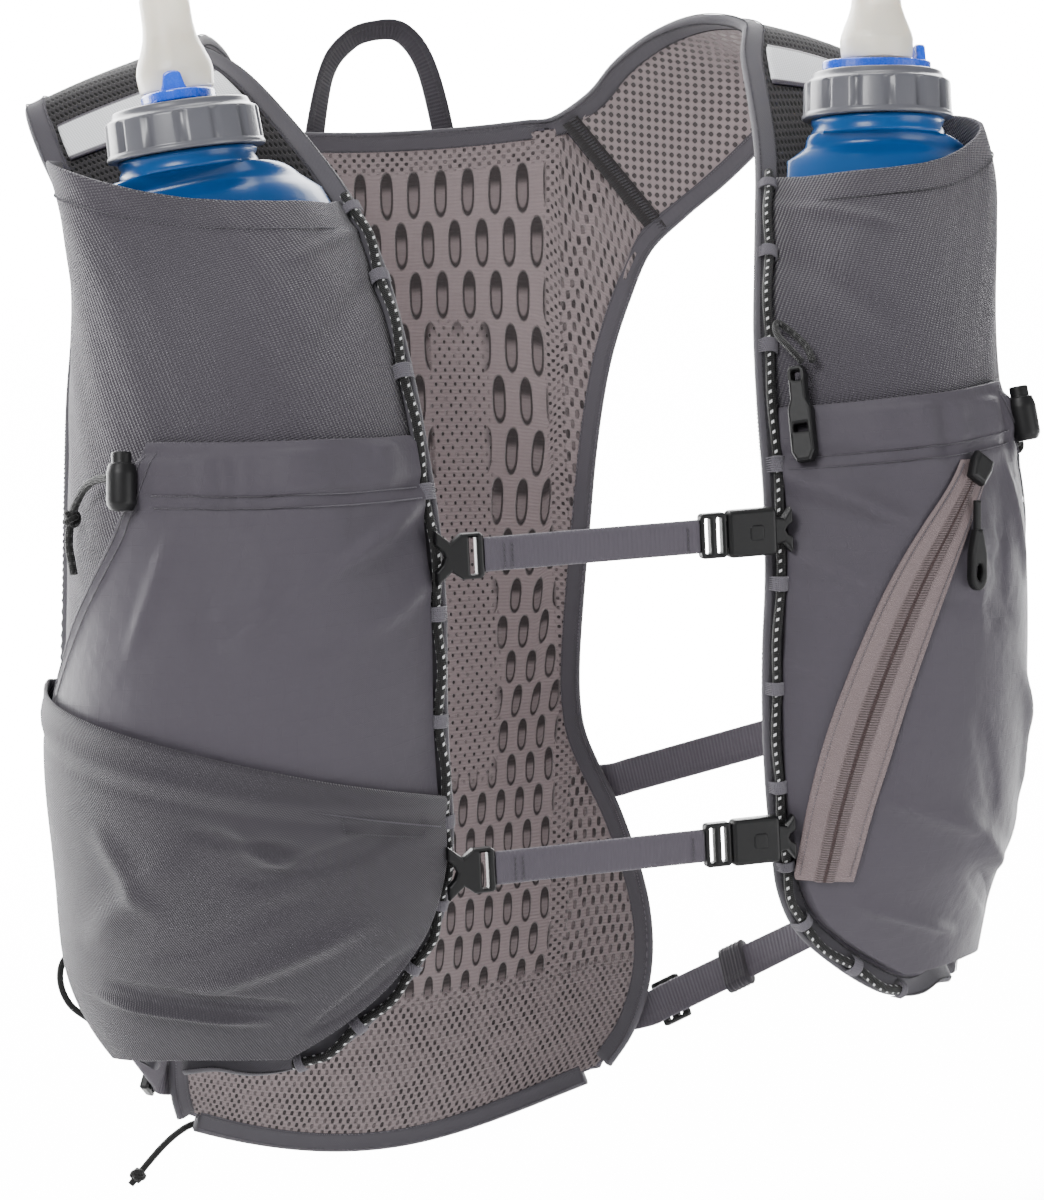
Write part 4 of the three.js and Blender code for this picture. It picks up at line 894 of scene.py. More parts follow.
def back_point(across, row):
    across, row = grids(across, row)
    p = row_at(BACK, row)
    a = np.abs(across)
    edge = np.where((across > 0)[..., None], p[..., 0:3], p[..., 3:6])
    top = 1 - smooth(row, 0, 2.2)
    shoulder = np.where(a < 0.63, -0.07 * (a / 0.63) ** 2, mix(-0.07, 1, (a - 0.63) / 0.37))
    reach = mix(a ** 3.2, a ** 1.6, top)
    drop = mix(a ** 2, shoulder, top)
    x = mix(p[..., 3], p[..., 0], (across + 1) / 2)
    y = mix(p[..., 6], edge[..., 1], reach)
    z = mix(p[..., 7], edge[..., 2], drop)
    return np.stack([x, y, z], axis=-1) * MAIN


def outward(surface, a, b, step_a=0.004, step_b=0.02):
    along_a = surface(a + step_a, b) - surface(a - step_a, b)
    along_b = surface(a, b + step_b) - surface(a, b - step_b)
    return unit(np.cross(along_b, along_a))


def back_out(across, row):
    return -outward(back_point, across, row, 0.01, 0.03)


# the left side hangs closer to the body: its x is drawn in past a place, softly
LEFT_DRAW = {"from": 0.625 * HALF_WIDTH, "share": 0.2, "soft": 0.010}


def drawn_in(x, side):
    over = np.maximum(x - LEFT_DRAW["from"], 0)
    eased = over - LEFT_DRAW["soft"] * (1 - np.exp(-over / LEFT_DRAW["soft"]))
    return x - (LEFT_DRAW["share"] * eased if side > 0 else 0)


def arm_trim(side):
    return TRIM / (1 - LEFT_DRAW["share"]) if side > 0 else TRIM


def placed(point, side, row):
    """A point of the left side's surface, put on its own side."""
    sway = harness(row)[3]
    x = side * drawn_in(point[..., 0], side) + sway
    return np.stack([x, point[..., 1], point[..., 2]], axis=-1)


def mirrored(direction, side):
    return direction * vec(side, 1, 1)


def margin(distance, row, edge):
    """The share of the panel's width that lies within a distance of an edge."""
    n1, a1, _, _ = harness(np.asarray(row, float) - 0.05)
    n2, a2, _, _ = harness(np.asarray(row, float) + 0.05)
    neck, arm, _, _ = harness(row)
    way = unit(n2 - n1) if edge == "neck" else unit(a2 - a1)
    wide = arm - neck
    slant = np.linalg.norm(np.cross(way, unit(wide)), axis=-1)
    return distance / (np.linalg.norm(wide, axis=-1) * np.maximum(slant, 0.5))


def inwards(line, start, way, distance):
    """The row at a distance along the surface from its end."""
    steps = start + way * np.arange(0, 121) * 0.01
    pts = np.stack([line(r) for r in steps])
    run = run_along(pts)
    return float(np.interp(distance, run, steps))


def bottom_row(across, distance):
    return inwards(lambda r: panel_point(across, r), HARNESS_END, -1, distance)


def back_row(across, distance, foot=False):
    return inwards(lambda r: back_point(across, r), BACK_END if foot else 0, -1 if foot else 1, distance)


def back_span(row):
    return np.linalg.norm(back_point(-1.0, row) - back_point(1.0, row), axis=-1) / 2


def swell(across, row):
    """How far the flask pushes its pocket out."""
    push = row_at(SWELL[:, 1:], np.asarray(row, float) - 4)
    a = np.clip((across - 0.05) / 0.9, 0, 1) * 2 - 1
    full = np.where(a < 0, push[..., 1], push[..., 2])
    return FLASK_DEPTH * push[..., 0] * (1 - np.abs(a) ** full)


def push_at(across, row):
    out = outward(panel_point, across, row)
    return unit(out * vec(1, 1, 0.12))


def pocket_point(across, row):
    across, row = grids(across, row)
    return panel_point(across, row) + push_at(across, row) * (POCKET_BASE + swell(across, row))[..., None]


def bottle_point(across, row):
    across, row = grids(across, row)
    drawn = 1 - 0.93 * smooth(row, 8.95, 9.5)
    lift = POCKET_BASE + swell(across, row) * drawn
    return panel_point(across, row) + push_at(across, row) * lift[..., None]


def fold(across, row):
    """Rise of the large folds of a front pocket."""
    total = np.zeros(np.broadcast(across, row).shape)
    for a, r, wide, long, high in FOLDS:
        total = total + high * FLASK_DEPTH * np.exp(-((across - a) / wide) ** 2 - ((row - r) / long) ** 2)
    return total


def far_lift(across):
    return 0.0016 * smooth(across, 0.55, 0.85)


def front_lift(across, row, side):
    keep = 1.0 if side > 0 else 1 - smooth(row, 8, 8.4)
    return FRONT_LIFT + far_lift(across) + fold(across, row) * keep


def lower_lift(across, row, side):
    return LOWER_LIFT + far_lift(across)


def on_pocket(across, row, side, lift, surface=pocket_point):
    """Points and outward directions above a pocket's surface."""
    across, row = grids(across, row)
    out = outward(surface, across, row)
    height = lift(across, row, side) if callable(lift) else np.full(across.shape, lift)
    return placed(surface(across, row) + out * height[..., None], side, row), mirrored(out, side)


def on_panel(across, row, side, lift=0.0):
    return on_pocket(across, row, side, lift, panel_point)


def on_back(across, row, lift=0.0):
    out = back_out(across, row)
    return back_point(across, row) + out * lift, out


def edge_row(edge, share):
    """The row of a pocket's own edge at a share of its width."""
    near, far, dip = edge[0, :3]
    return mix(near, far, share) + dip * 4 * share * (1 - share)


def pocket_line(edge, down, share, far, side, lift, surface=pocket_point):
    """A line that follows a pocket's edge, some rows down from it."""
    row = edge_row(edge, share) + down
    return on_pocket(mix(margin(POCKET_MARGIN, row, "neck"), far, share), row, side, lift, surface)


def pocket_grid(edge, surface, lift, side, columns, count):
    """Grid of a pocket wall, with the place of each point on the panel."""
    j = np.linspace(0, 1, count + 1)[:, None]
    i = np.linspace(0, 1, columns + 1)[None, :]
    t = row_at(edge, j[:, 0] * (len(edge) - 1))
    near, far, dip, start, end = (t[:, k][:, None] for k in range(5))
    share = mix(i, (1 - np.cos(np.pi * i)) / 2, 0.6)
    row = mix(near, far, share) + dip * 4 * share * (1 - share)
    low = margin(POCKET_MARGIN, row, "neck") + start
    high = np.minimum(end, 1 - margin(POCKET_MARGIN, row, "arm"))
    across = mix(low, high, share)
    point, out = on_pocket(across, row, side, lift, surface)
    for column, way in ((0, -1), (-1, 1)):
        sides = across[:, column] + way * .0012 / panel_width(row[:, column])
        foot, _ = on_panel(sides, row[:, column], side, .0026)
        point[:, column] = foot
    return across, row, point, out


def lengths(point):
    """A flat map of a grid in millimetres, from its middle column and its rows."""
    wide = np.linalg.norm(np.diff(point, axis=1), axis=-1)
    run = np.concatenate([np.zeros((len(point), 1)), np.cumsum(wide, axis=1)], axis=1)
    run = run - run[:, -1:] / 2
    tall = np.linalg.norm(np.diff(point, axis=0), axis=-1)
    down = np.concatenate([np.zeros((1, point.shape[1])), np.cumsum(tall, axis=0)])
    down = np.repeat(down.mean(axis=1)[:, None], point.shape[1], axis=1)
    return np.stack([run, down], axis=-1) / MM


def creases(across, row, table, strength=2.0):
    """Rise of soft ridges and grooves; each runs from one place to another on the panel."""
    scale_a, scale_r = 100.0, 40.0
    total = np.zeros(across.shape)
    for a0, r0, a1, r1, wide, high in table:
        p = np.stack([across * scale_a, row * scale_r], axis=-1)
        s, e = vec(a0 * scale_a, r0 * scale_r), vec(a1 * scale_a, r1 * scale_r)
        t = ((p - s) @ (e - s)) / ((e - s) @ (e - s))
        near = s + np.clip(t, 0, 1)[..., None] * (e - s)
        off = np.linalg.norm(p - near, axis=-1)
        fade = smooth(t, -0.1, 0.3) * (1 - smooth(t, 0.7, 1.1))
        total += strength * high * np.exp(-(off / wide) ** 2) * fade
    return total * MM


def settle(point, out, rise):
    return point + out * rise[..., None]


# front panels, back and bindings


PANEL_ROWS = 121
PANEL_COLUMNS = 33
FOOT_TUCK = TUCK + .0036
SEAM_STEPS = 80
SEAM_WIDTH = .0078
SEAM_THICK = .0012
SEAM_THREADS = 44
THREAD = .0006


def make_panels():
    for name, side in SIDES:
        j = np.linspace(0, 1, PANEL_ROWS)
        i = np.linspace(0, 1, PANEL_COLUMNS)
        feet = np.array([bottom_row(mix(.35, .65, a), FOOT_TUCK) for a in np.linspace(0, 1, 9)])
        foot = np.interp(i, np.linspace(0, 1, 9), feet)
        row = mix(0.05, foot[None, :], j[:, None])
        corner = TUCK + .0018 * smooth(row, 11.3, 12.2)
        low, high = margin(corner, row, "neck"), 1 - margin(TUCK, row, "arm")
        across = mix(low, high, i[None, :])
        point, out = on_panel(across, row, side)
        obj = cloth(f"front_panel_cloth_{name}", point, out, PANEL, lengths(point),
                    ["panel", "lining"], attributes={"row": row})
        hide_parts(f"front_panel_{name}")
        across = np.linspace(.03, .97, SEAM_STEPS)
        for face, lift in (("inner", -1), ("outer", 1)):
            points, outs = on_panel(across, np.zeros(SEAM_STEPS), side, lift * (PANEL / 2 + .0003))
            section = tape_section(SEAM_WIDTH, SEAM_THICK)
            sweep(f"overlock_seam_{face}_{name}", points, outs * lift, section, "seam")
            threads = []
            for at in np.linspace(.04, .96, SEAM_THREADS):
                line, turn = on_panel(at + np.linspace(-.008, .008, 5), np.linspace(.0, .09, 5), side,
                                      lift * (PANEL / 2 + .0010))
                threads.append(small_tube(line, turn * lift, THREAD, THREAD, 4))
            joined(f"overlock_threads_{face}_{name}", threads, "thread_dark")


BACK_COLUMNS = 96
BACK_STEPS = 150
SHOULDER_PLACES = (0.695, 0.76)


def make_back():
    share = np.linspace(-1, 1, BACK_COLUMNS + 1)
    tops = []
    for a in share * 0.9:
        opened = 1 - smooth(abs(a), *SHOULDER_PLACES)
        tops.append(back_row(a, mix(0, TUCK, opened)))
    feet = [back_row(a, TUCK + .002 * a * a, True) for a in share]
    row = mix(np.array(tops)[None], np.array(feet)[None], np.linspace(0, 1, BACK_STEPS + 1)[:, None])
    across = share[None, :] * (1 - TUCK / back_span(row))
    point = back_point(across, row)
    out = back_out(across, row)
    obj = cloth("back_mesh_cloth", point, out, BACK_MESH, lengths(point), ["back_outer", "back_inner"])
    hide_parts("back_panel")


def neck_side(row, side):
    return on_panel(margin(BINDING_WIDTH / 2, row, "neck"), row, side)


def arm_side(row, side):
    return on_panel(1 - margin(BINDING_WIDTH / 2, row, "arm"), row, side)


def chain(*pairs):
    """Joins (points, outs) pairs into one line."""
    points = [np.reshape(p, (-1, 3)) for p, _ in pairs]
    outs = [np.reshape(o, (-1, 3)) for _, o in pairs]
    return np.concatenate(points), np.concatenate(outs)


def refine(points, outs, count):
    """A smooth line with evenly spaced points, and their outward directions."""
    run = run_along(points)
    keep = np.concatenate([[True], np.diff(run) > 1e-5])
    points, outs, run = points[keep], outs[keep], run[keep]
    fine = catmull(points, count)
    want = np.linspace(0, 1, count) * run[-1]
    turn = np.stack([np.interp(want, run, outs[:, k]) for k in range(3)], axis=1)
    return fine, unit(turn)


def binding(name, points, outs, node):
    """A binding tape over an edge, with a row of stitches near each side of both faces."""
    section = tape_section(BINDING_WIDTH, BINDING_THICK, 0.92, 7)
    obj = sweep(name, points, outs, section, "binding")
    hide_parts(node)
    _, wide, out = stations(points, outs)
    lines = []
    for way in (-1, 1):
        for face in (-1, 1):
            line = points + wide * way * BINDING_WIDTH * 0.36 + out * face * BINDING_THICK * 0.46
            lines += stitch_line(line, out * face, "binding")
    joined(name + "_stitches", lines, "thread" if node != "neck_binding" else "thread_dark")


def neck_line(count):
    right_rows = np.linspace(HARNESS_END - .55, .35, 27)
    left_rows = right_rows[::-1]
    low = [.74, .5, .26]
    feet = [on_panel(a, bottom_row(a, BINDING_WIDTH / 2), -1) for a in low]
    feet_left = [on_panel(a, bottom_row(a, BINDING_WIDTH / 2), 1) for a in low[::-1]]
    middle = np.linspace(-.63 * .96, .63 * .96, 11)
    across = [on_back(a, back_row(a, BINDING_WIDTH / 2)) for a in middle]
    points, outs = chain(*feet, neck_side(right_rows, -1), *across, neck_side(left_rows, 1), *feet_left)
    return refine(points, outs, count)


def make_bindings():
    points, outs = neck_line(420)
    binding("neck_binding_tape", points, outs, "neck_binding")
    for name, side in SIDES:
        front = arm_side(np.linspace(HARNESS_END - .6, .3, 23), side)
        back_rows = np.linspace(.25, BACK_END - .35, 19)
        across = side * (1 - (BINDING_WIDTH / 2) / back_span(back_rows))
        points, outs = refine(*chain(front, on_back(across, back_rows)), 260)
        binding(f"armhole_binding_tape_{name}", points, outs, f"armhole_binding_{name}")
    places = [on_back(a, back_row(a, BINDING_WIDTH / 2, True)) for a in np.linspace(-.9, .9, 16)]
    points, outs = refine(*chain(*places), 120)
    binding("hem_binding_tape", points, outs, "hem_binding")


# pockets

# from across, row to across, row, half width in mm, rise in mm
NEAR_WRINKLES = rows(
    [.05, 7.7, .42, 8.3, 1.6, .8], [.10, 8.3, .50, 8.45, 2.4, -.7], [.46, 7.6, .58, 8.3, 1.8, .8],
    [.22, 7.9, .50, 8.15, 2.2, .6], [.36, 9.1, .50, 9.9, 2.6, -.9], [.62, 9.0, .70, 9.9, 3.0, .9],
    [.04, 7.62, .20, 7.95, 2.2, 1.3], [.04, 8.05, .24, 8.5, 2.4, 1.2],
    [.05, 8.75, .20, 9.0, 2.0, 1.0], [.30, 7.75, .36, 8.5, 2.6, .9],
    [.44, 7.75, .40, 8.6, 2.6, -.9], [.10, 9.5, .40, 10.0, 3.4, 1.5],
    [.30, 9.7, .66, 10.6, 3.8, 1.6], [.45, 10.4, .75, 11.2, 3.2, -1.2],
    [.12, 10.6, .45, 11.3, 3.0, 1.2], [.55, 8.8, .80, 9.6, 3.4, 1.1])
RIGHT_LOW_WRINKLES = rows(
    [.48, 9.35, .30, 9.55, 1.8, -1.2], [.30, 9.9, .62, 10.5, 2.6, -.8], [.68, 9.3, .60, 10.1, 2.6, .8],
    [.15, 9.55, .42, 9.75, 2.6, -1.4], [.42, 9.35, .30, 9.75, 2.2, 1.2],
    [.50, 9.4, .78, 10.4, 4.2, 1.2], [.20, 10.2, .55, 10.9, 3.8, 1.3],
    [.35, 11.3, .80, 11.0, 2.4, 1.6], [.30, 11.1, .74, 10.8, 2.4, -1.3],
    [.10, 10.6, .22, 11.5, 2.6, -1.1])


# how far wrinkles may sink, rows where the low pocket covers them, half width of flat cloth by the zip
DEEPEST = -.0009
COVERED = (8.2, 8.5)
ZIP_FLAT = .0095


def gathers(across, row, side):
    """Small puffs of the drawn casing along the top of a front pocket."""
    top = edge_row(FRONT_EDGE, across)
    band = smooth(row, top, top + .05) * (1 - smooth(row, top + .22, top + .42))
    ripple = np.sin(across * 62 + 1.3 * np.sin(across * 21 + side)) + .7 * np.sin(across * 33 + side)
    seam = np.exp(-((row - top - .26) / .035) ** 2)
    return (band * (0.8 * ripple + 1.6) - 1.2 * seam) * MM


def front_skin(across, row, side):
    """Height of a front pocket's cloth, with its wrinkles and the puffs of its casing."""
    shape = creases(across, row, NEAR_WRINKLES)
    if side < 0:
        shape = shape * (1 - smooth(row, *COVERED))
    else:
        line = np.interp(row, ZIP_LINE[:, 0], ZIP_LINE[:, 1])
        off = (across - line) * panel_width(row) / ZIP_FLAT
        shape = shape * (1 - np.exp(-off ** 4))
    shape = shape + gathers(across, row, side)
    return front_lift(across, row, side) + np.maximum(shape, DEEPEST)


def make_pockets():
    for name, side in SIDES:
        across, row, point, out = pocket_grid(BOTTLE_EDGE, bottle_point, 0.0, side, 96, 100)
        lines = creases(across, row, rows([.04, 6.2, .2, 6.9, 2.5, -.5], [.05, 5.8, .22, 6.1, 2, .5]))
        lines += 0.12 * MM * np.sin(across * 60 + row * 9)
        obj = cloth(f"stretch_pocket_{name}", settle(point, out, lines), out, POCKET_KNIT,
                    lengths(point), ["knit", "knit"])
        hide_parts(f"bottle_pocket_{name}")
        share = np.linspace(0.03, 0.97, 60)
        spots, outs = pocket_line(BOTTLE_EDGE, .3, share, .95, side, POCKET_KNIT / 2, bottle_point)
        joined(f"pocket_hem_stitches_{name}", stitch_line(spots, outs, "hem"),
               "thread" if side < 0 else "thread_dark")

        across, row, point, out = pocket_grid(FRONT_EDGE, pocket_point, front_skin, side, 130, 130)
        obj = cloth(f"front_pocket_cloth_{name}", point, out, POCKET_NYLON, lengths(point),
                    ["nylon", "nylon"])
        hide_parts(f"front_pocket_{name}")
        share = np.linspace(0.02, 0.98, 70)
        edges = []
        for down in (.27, .33):
            spots, outs = pocket_line(FRONT_EDGE, down, share, .52, side, front_skin)
            edges += stitch_line(spots + outs * POCKET_NYLON * .5, outs, "pocket")
        joined(f"casing_stitches_{name}", edges, "thread")
        slant = row_at(FRONT_EDGE, np.linspace(0.15, 2.9, 60))
        pieces = []
        for inset in (.012, .035):
            spots, outs = on_pocket(slant[:, 4] - inset, slant[:, 1], side, front_skin)
            pieces += stitch_line(spots + outs * POCKET_NYLON * .55, outs, "pocket")
        joined(f"slant_stitches_{name}", pieces, "thread")

    across, row, point, out = pocket_grid(LOWER_EDGE, pocket_point, lower_lift, -1, 130, 110)
    shape = creases(across, row, RIGHT_LOW_WRINKLES)
    top = mix(LOWER_EDGE[0, 0], LOWER_EDGE[0, 1], across)
    roll = np.exp(-((row - top - .07) / .06) ** 2) * .9 * MM
    seam = -np.exp(-((row - top - .2) / .03) ** 2) * .5 * MM
    shape = np.maximum(shape + roll + seam, DEEPEST)
    obj = cloth("low_pocket_cloth", settle(point, out, shape), out, POCKET_NYLON, lengths(point),
                ["lower", "lower"])
    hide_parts("lower_pocket_right")
    share = np.linspace(0.02, 0.97, 90)
    spots, outs = pocket_line(LOWER_EDGE, .2, share, .94, -1, lower_lift)
    joined("low_pocket_stitches", stitch_line(spots + outs * POCKET_NYLON * .6, outs, "low pocket"),
           "thread")
    pieces = []
    corners = [(.23, 9.24), (.23, 9.46), (.10, 9.64), (.10, 9.42), (.23, 9.24)]
    for start, end in zip(corners, corners[1:]):
        a = np.linspace(start[0], end[0], 20)
        r = np.linspace(start[1], end[1], 20)
        spots, outs = on_pocket(a, r, -1, lower_lift)
        pieces += stitch_line(spots + outs * POCKET_NYLON * .6, outs, "box")
    joined("low_pocket_box_stitches", pieces, "thread_dark")


# flasks with their caps, valves and levers

# row, fill
FLASK = rows([5.1, .9], [5.25, 1], [6, 1], [7, 1], [8, 1], [8.55, .92], [8.8, .7], [8.88, .4])
CAP_FOOT = vec(.719, -.6, -.085) * MAIN
CAP_AXIS = unit(vec(.07, .1, 1))
CAP_ROW = np.array([3.0])
FLASK_MIDDLE = .46
FLASK_FAR = .9
RING = 72
NOTCH = {"count": 14, "depth": .0009, "foot": .002, "top": .0115, "radius": .02}


def cap_frame(side):
    """Foot of the cap and its own wide, deep and axis directions."""
    foot = placed(CAP_FOOT[None], side, CAP_ROW)[0]
    axis = mirrored(CAP_AXIS, side)
    turn = Vector((0, 0, 1)).rotation_difference(Vector(axis)).to_matrix()
    return foot, np.array(turn)


def flask_ring(row, fill):
    """A ring of the flask's body between the panel and the pocket."""
    width = float(panel_width(np.array(row)))
    near = max(float(margin(POCKET_MARGIN, row, "neck")), FLASK_MIDDLE - FLASK_WIDTH / 2 / width)
    far = min(FLASK_FAR, FLASK_MIDDLE + FLASK_WIDTH / 2 / width)
    angle = np.arange(RING) / RING * 2 * math.pi
    c = np.sign(np.cos(angle)) * np.abs(np.cos(angle)) ** .85
    s = np.sign(np.sin(angle)) * np.abs(np.sin(angle)) ** .75
    across = (near + far) / 2 + c * fill * (far - near) / 2
    back = PANEL / 2 + FLASK_PLAY + .0006
    front = POCKET_BASE + swell(across, row) - POCKET_KNIT / 2 - FLASK_PLAY * 1.4
    lift = (front + back) / 2 + s * fill * np.maximum(front - back, .002) / 2
    row = np.full(RING, row)
    return panel_point(across, row) + push_at(across, row) * lift[:, None], row


def make_flasks():
    wide = -unit(np.cross(np.cross(vec(1, 0, 0), CAP_AXIS), CAP_AXIS))
    deep = -np.cross(CAP_AXIS, wide)
    angle = np.arange(RING) / RING * 2 * math.pi
    for name, side in SIDES:
        rings = []
        for drop in (0, .0012, .0026, .004, NECK_HEIGHT):
            reach = NECK_DIAMETER / 2 - (.0008 if drop == .0026 else 0)
            centre = placed((CAP_FOOT - CAP_AXIS * (drop + GAP))[None], side, CAP_ROW)
            offset = wide * (np.cos(angle) * reach)[:, None] + deep * (np.sin(angle) * reach)[:, None]
            rings.append(centre + mirrored(offset, side))
        first, row = flask_ring(FLASK[0, 0], FLASK[0, 1])
        edge = placed(first, side, row)
        shoulder = []
        for t in np.linspace(0, 1, 9)[1:-1]:
            rise = (4 * t * (1 - t)) * .0022
            shoulder.append(mix(rings[4], edge, t ** .85) + mirrored(CAP_AXIS, side) * rise)
        rings += shoulder
        fine = np.concatenate([np.linspace(0, 1, 4)[:-1], np.linspace(1, 4, 28)[:-1],
                               np.linspace(4, 7, 15)])
        for t in fine:
            row, fill = np.interp(t, range(8), FLASK[:, 0]), np.interp(t, range(8), FLASK[:, 1])
            ring, at = flask_ring(row, fill)
            rings.append(placed(ring, side, at))
        u, v = np.meshgrid(np.arange(RING), np.arange(len(rings)))
        obj = rings_object(f"flask_film_{name}", np.array(rings), np.stack([u, v], axis=-1) * 2.0, ["film"])
        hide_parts(f"flask_{name}")
        make_cap(name, side)


def turned(name, profile, frame, material, sides, notch=()):
    """A body turned about a frame's axis; notch holds angles of shallow upright slits."""
    foot, turn = frame
    profile = np.array(profile, float)
    angle = np.arange(sides) / sides * 2 * math.pi
    rings = []
    for r, z in profile:
        reach = np.full(sides, r)
        for at in notch:
            off = np.abs((angle - at + math.pi) % (2 * math.pi) - math.pi)
            deep = NOTCH["depth"] if NOTCH["foot"] < z < NOTCH["top"] and r > NOTCH["radius"] else 0
            reach = reach - deep * (off < 2 * math.pi / sides * 1.1)
        local = np.stack([np.cos(angle) * reach, np.sin(angle) * reach, np.full(sides, z)], axis=1)
        rings.append(foot + local @ turn.T)
    u, v = np.meshgrid(np.arange(sides) / sides * 60, profile[:, 1] / MM)
    return rings_object(name, np.array(rings), np.stack([u, v], axis=-1), [material])


def rounded(profile, radius=.0006, steps=4):
    """A profile with its corners rounded."""
    p = np.array(profile, float)
    made = [p[0]]
    for a, b, c in zip(p, p[1:], p[2:]):
        back, on = a - b, c - b
        cut = min(radius, np.linalg.norm(back) * .45, np.linalg.norm(on) * .45)
        s, e = b + unit(back) * cut, b + unit(on) * cut
        for t in np.linspace(0, 1, steps + 1):
            made.append((1 - t) ** 2 * s + 2 * t * (1 - t) * b + t * t * e)
    made.append(p[-1])
    return made


def make_cap(name, side):
    frame_at = cap_frame(side)
    r, top, spout = CAP_DIAMETER / 2, CAP_HEIGHT, SPOUT_DIAMETER / 2
    end = top + LEVER_THICK + 2 * GAP
    shape = rounded([[.001, 0], [r, 0], [r, .0012], [r - .0004, .0018], [r - .0008, top * .78],
                     [r - .003, top * .86], [r - .0036, top], [spout, top], [spout, end], [.001, end]],
                    .0008)
    slits = np.arange(NOTCH["count"]) / NOTCH["count"] * 2 * math.pi
    obj = turned(f"screw_cap_{name}", shape, frame_at, "cap", 168, slits)
    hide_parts(f"flask_cap_{name}")

    base, tip, foot, h = VALVE_BASE / 2, VALVE_TOP / 2, end + GAP, VALVE_HEIGHT
    shape = [[.001, foot], [base - .0005, foot], [base, foot + .0008], [base + .0003, foot + h * .12],
             [base + .0004, foot + h * .2], [base - .0001, foot + h * .27], [base - .0009, foot + h * .34],
             [tip + .0016, foot + h * .44], [tip + .0006, foot + h * .54], [tip + .0001, foot + h * .66],
             [tip, foot + h * .8], [tip, foot + h * .92], [tip - .0006, foot + h * .97],
             [tip - .0018, foot + h], [.001, foot + h]]
    obj = turned(f"bite_valve_{name}", rounded(shape, .0004, 2), frame_at, "silicone", 72)
    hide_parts(f"flask_valve_{name}")
    slit = [small_tube(frame_at[0] + np.array([[x, 0, foot + h + .0001] for x in np.linspace(-.005, .005, 8)])
                       @ frame_at[1].T, np.repeat(frame_at[1][:, 2][None], 8, axis=0), .0007, .0004)]
    joined(f"valve_slit_{name}", slit, "thread_dark")
    make_lever(name, side, frame_at)


def bevelled(name, outlines, thick, bevel, material, place, turn, body="vest"):
    """A flat plate with rounded edges; its own x and y lie along turn's first two columns."""
    curve = bpy.data.curves.new(name, "CURVE")
    curve.dimensions = "2D"
    curve.fill_mode = "BOTH"
    curve.extrude = thick / 2 - bevel
    curve.bevel_depth = bevel
    curve.bevel_resolution = 2
    curve.offset = -bevel
    for outline in outlines:
        spline = curve.splines.new("POLY")
        spline.points.add(len(outline) - 1)
        for point, (x, y) in zip(spline.points, outline):
            point.co = (x, y, 0, 1)
        spline.use_cyclic_u = True
    holder = bpy.data.objects.new(name, curve)
    bpy.context.scene.collection.objects.link(holder)
    bpy.context.view_layer.update()
    mesh = bpy.data.meshes.new_from_object(holder.evaluated_get(bpy.context.evaluated_depsgraph_get()))
    bpy.data.objects.remove(holder)
    verts = np.array([v.co for v in mesh.vertices])
    faces = [tuple(f.vertices) for f in mesh.polygons]
    verts = verts @ np.asarray(turn).T + place
    return make_object(name, verts, faces, [material], body, verts[:, [0, 2]] / MM, smooth=False)


def arc(cx, cy, rx, ry, start, end, count):
    turn = np.linspace(start, end, count)
    return [(cx + rx * math.cos(a), cy + ry * math.sin(a)) for a in turn]


def ellipse(cx, cy, rx, ry, count):
    return arc(cx, cy, rx, ry, 0, 2 * math.pi * (count - 1) / count, count)


def box_outline(w, h, r, x=0.0, y=0.0):
    """A rectangle with round corners."""
    a, b = w / 2 - r, h / 2 - r
    quarter = math.pi / 2
    points = []
    for k, (cx, cy) in enumerate(((a, b), (-a, b), (-a, -b), (a, -b))):
        points += arc(x + cx, y + cy, r, r, k * quarter, (k + 1) * quarter, 5)
    return points


def make_lever(name, side, frame_at):
    foot, turn = frame_at
    spin = -math.pi / 2 - .28 if side < 0 else -.1
    rot = np.array([[math.cos(spin), -math.sin(spin), 0], [math.sin(spin), math.cos(spin), 0], [0, 0, 1]])
    turn = turn @ rot
    bore = SPOUT_DIAMETER / 2 + 2 * GAP
    outer = ellipse(0, 0, LEVER_LENGTH / 2, LEVER_WIDTH / 2, 64)
    inner = ellipse(0, 0, bore, bore, 48)
    middle = CAP_HEIGHT + GAP + LEVER_THICK / 2
    obj = bevelled(f"lever_plate_{name}", [outer, inner], LEVER_THICK, .0007, "lever",
                   foot + turn @ vec(0, 0, middle), turn, f"lever_{name}")
    thumb = LEVER_WIDTH * .3
    left = [(-thumb * s, z) for s, z in ((1, 0), (.8, .0016), (.6, .003), (.48, .0052), (.4, .0078))]
    crown = arc(0, .0078, thumb * .4, .0014, math.pi, 0, 9)
    rise = left + crown[1:-1] + [(-x, z) for x, z in reversed(left)]
    stand = np.stack([turn[:, 1], turn[:, 2], turn[:, 0]], axis=1)
    bevelled(f"lever_thumb_{name}", [rise[::-1]], .003, .0007, "lever",
             foot + turn @ vec(VALVE_BASE / 2 + .0027, 0, CAP_HEIGHT + GAP), stand, f"lever_{name}")
    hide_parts(f"flask_lever_{name}")


# laces, straps and their hardware

LACE_ENDS = (5.45, 12.4)
TACK_ROWS = np.linspace(5.62, 12.3, 11)


LACE_INSET = .003
LACE_LIFT = BINDING_THICK / 2 + 2 * GAP + BUNGEE / 2
# threads of a bartack, rows between them, half its width, thickness of its thread
TACK = {"threads": 7, "pitch": .012, "half": .0032, "thread": .0009}


def lace_at(row, side, lift=LACE_LIFT):
    return on_panel(margin(LACE_INSET, row, "neck"), row, side, lift)


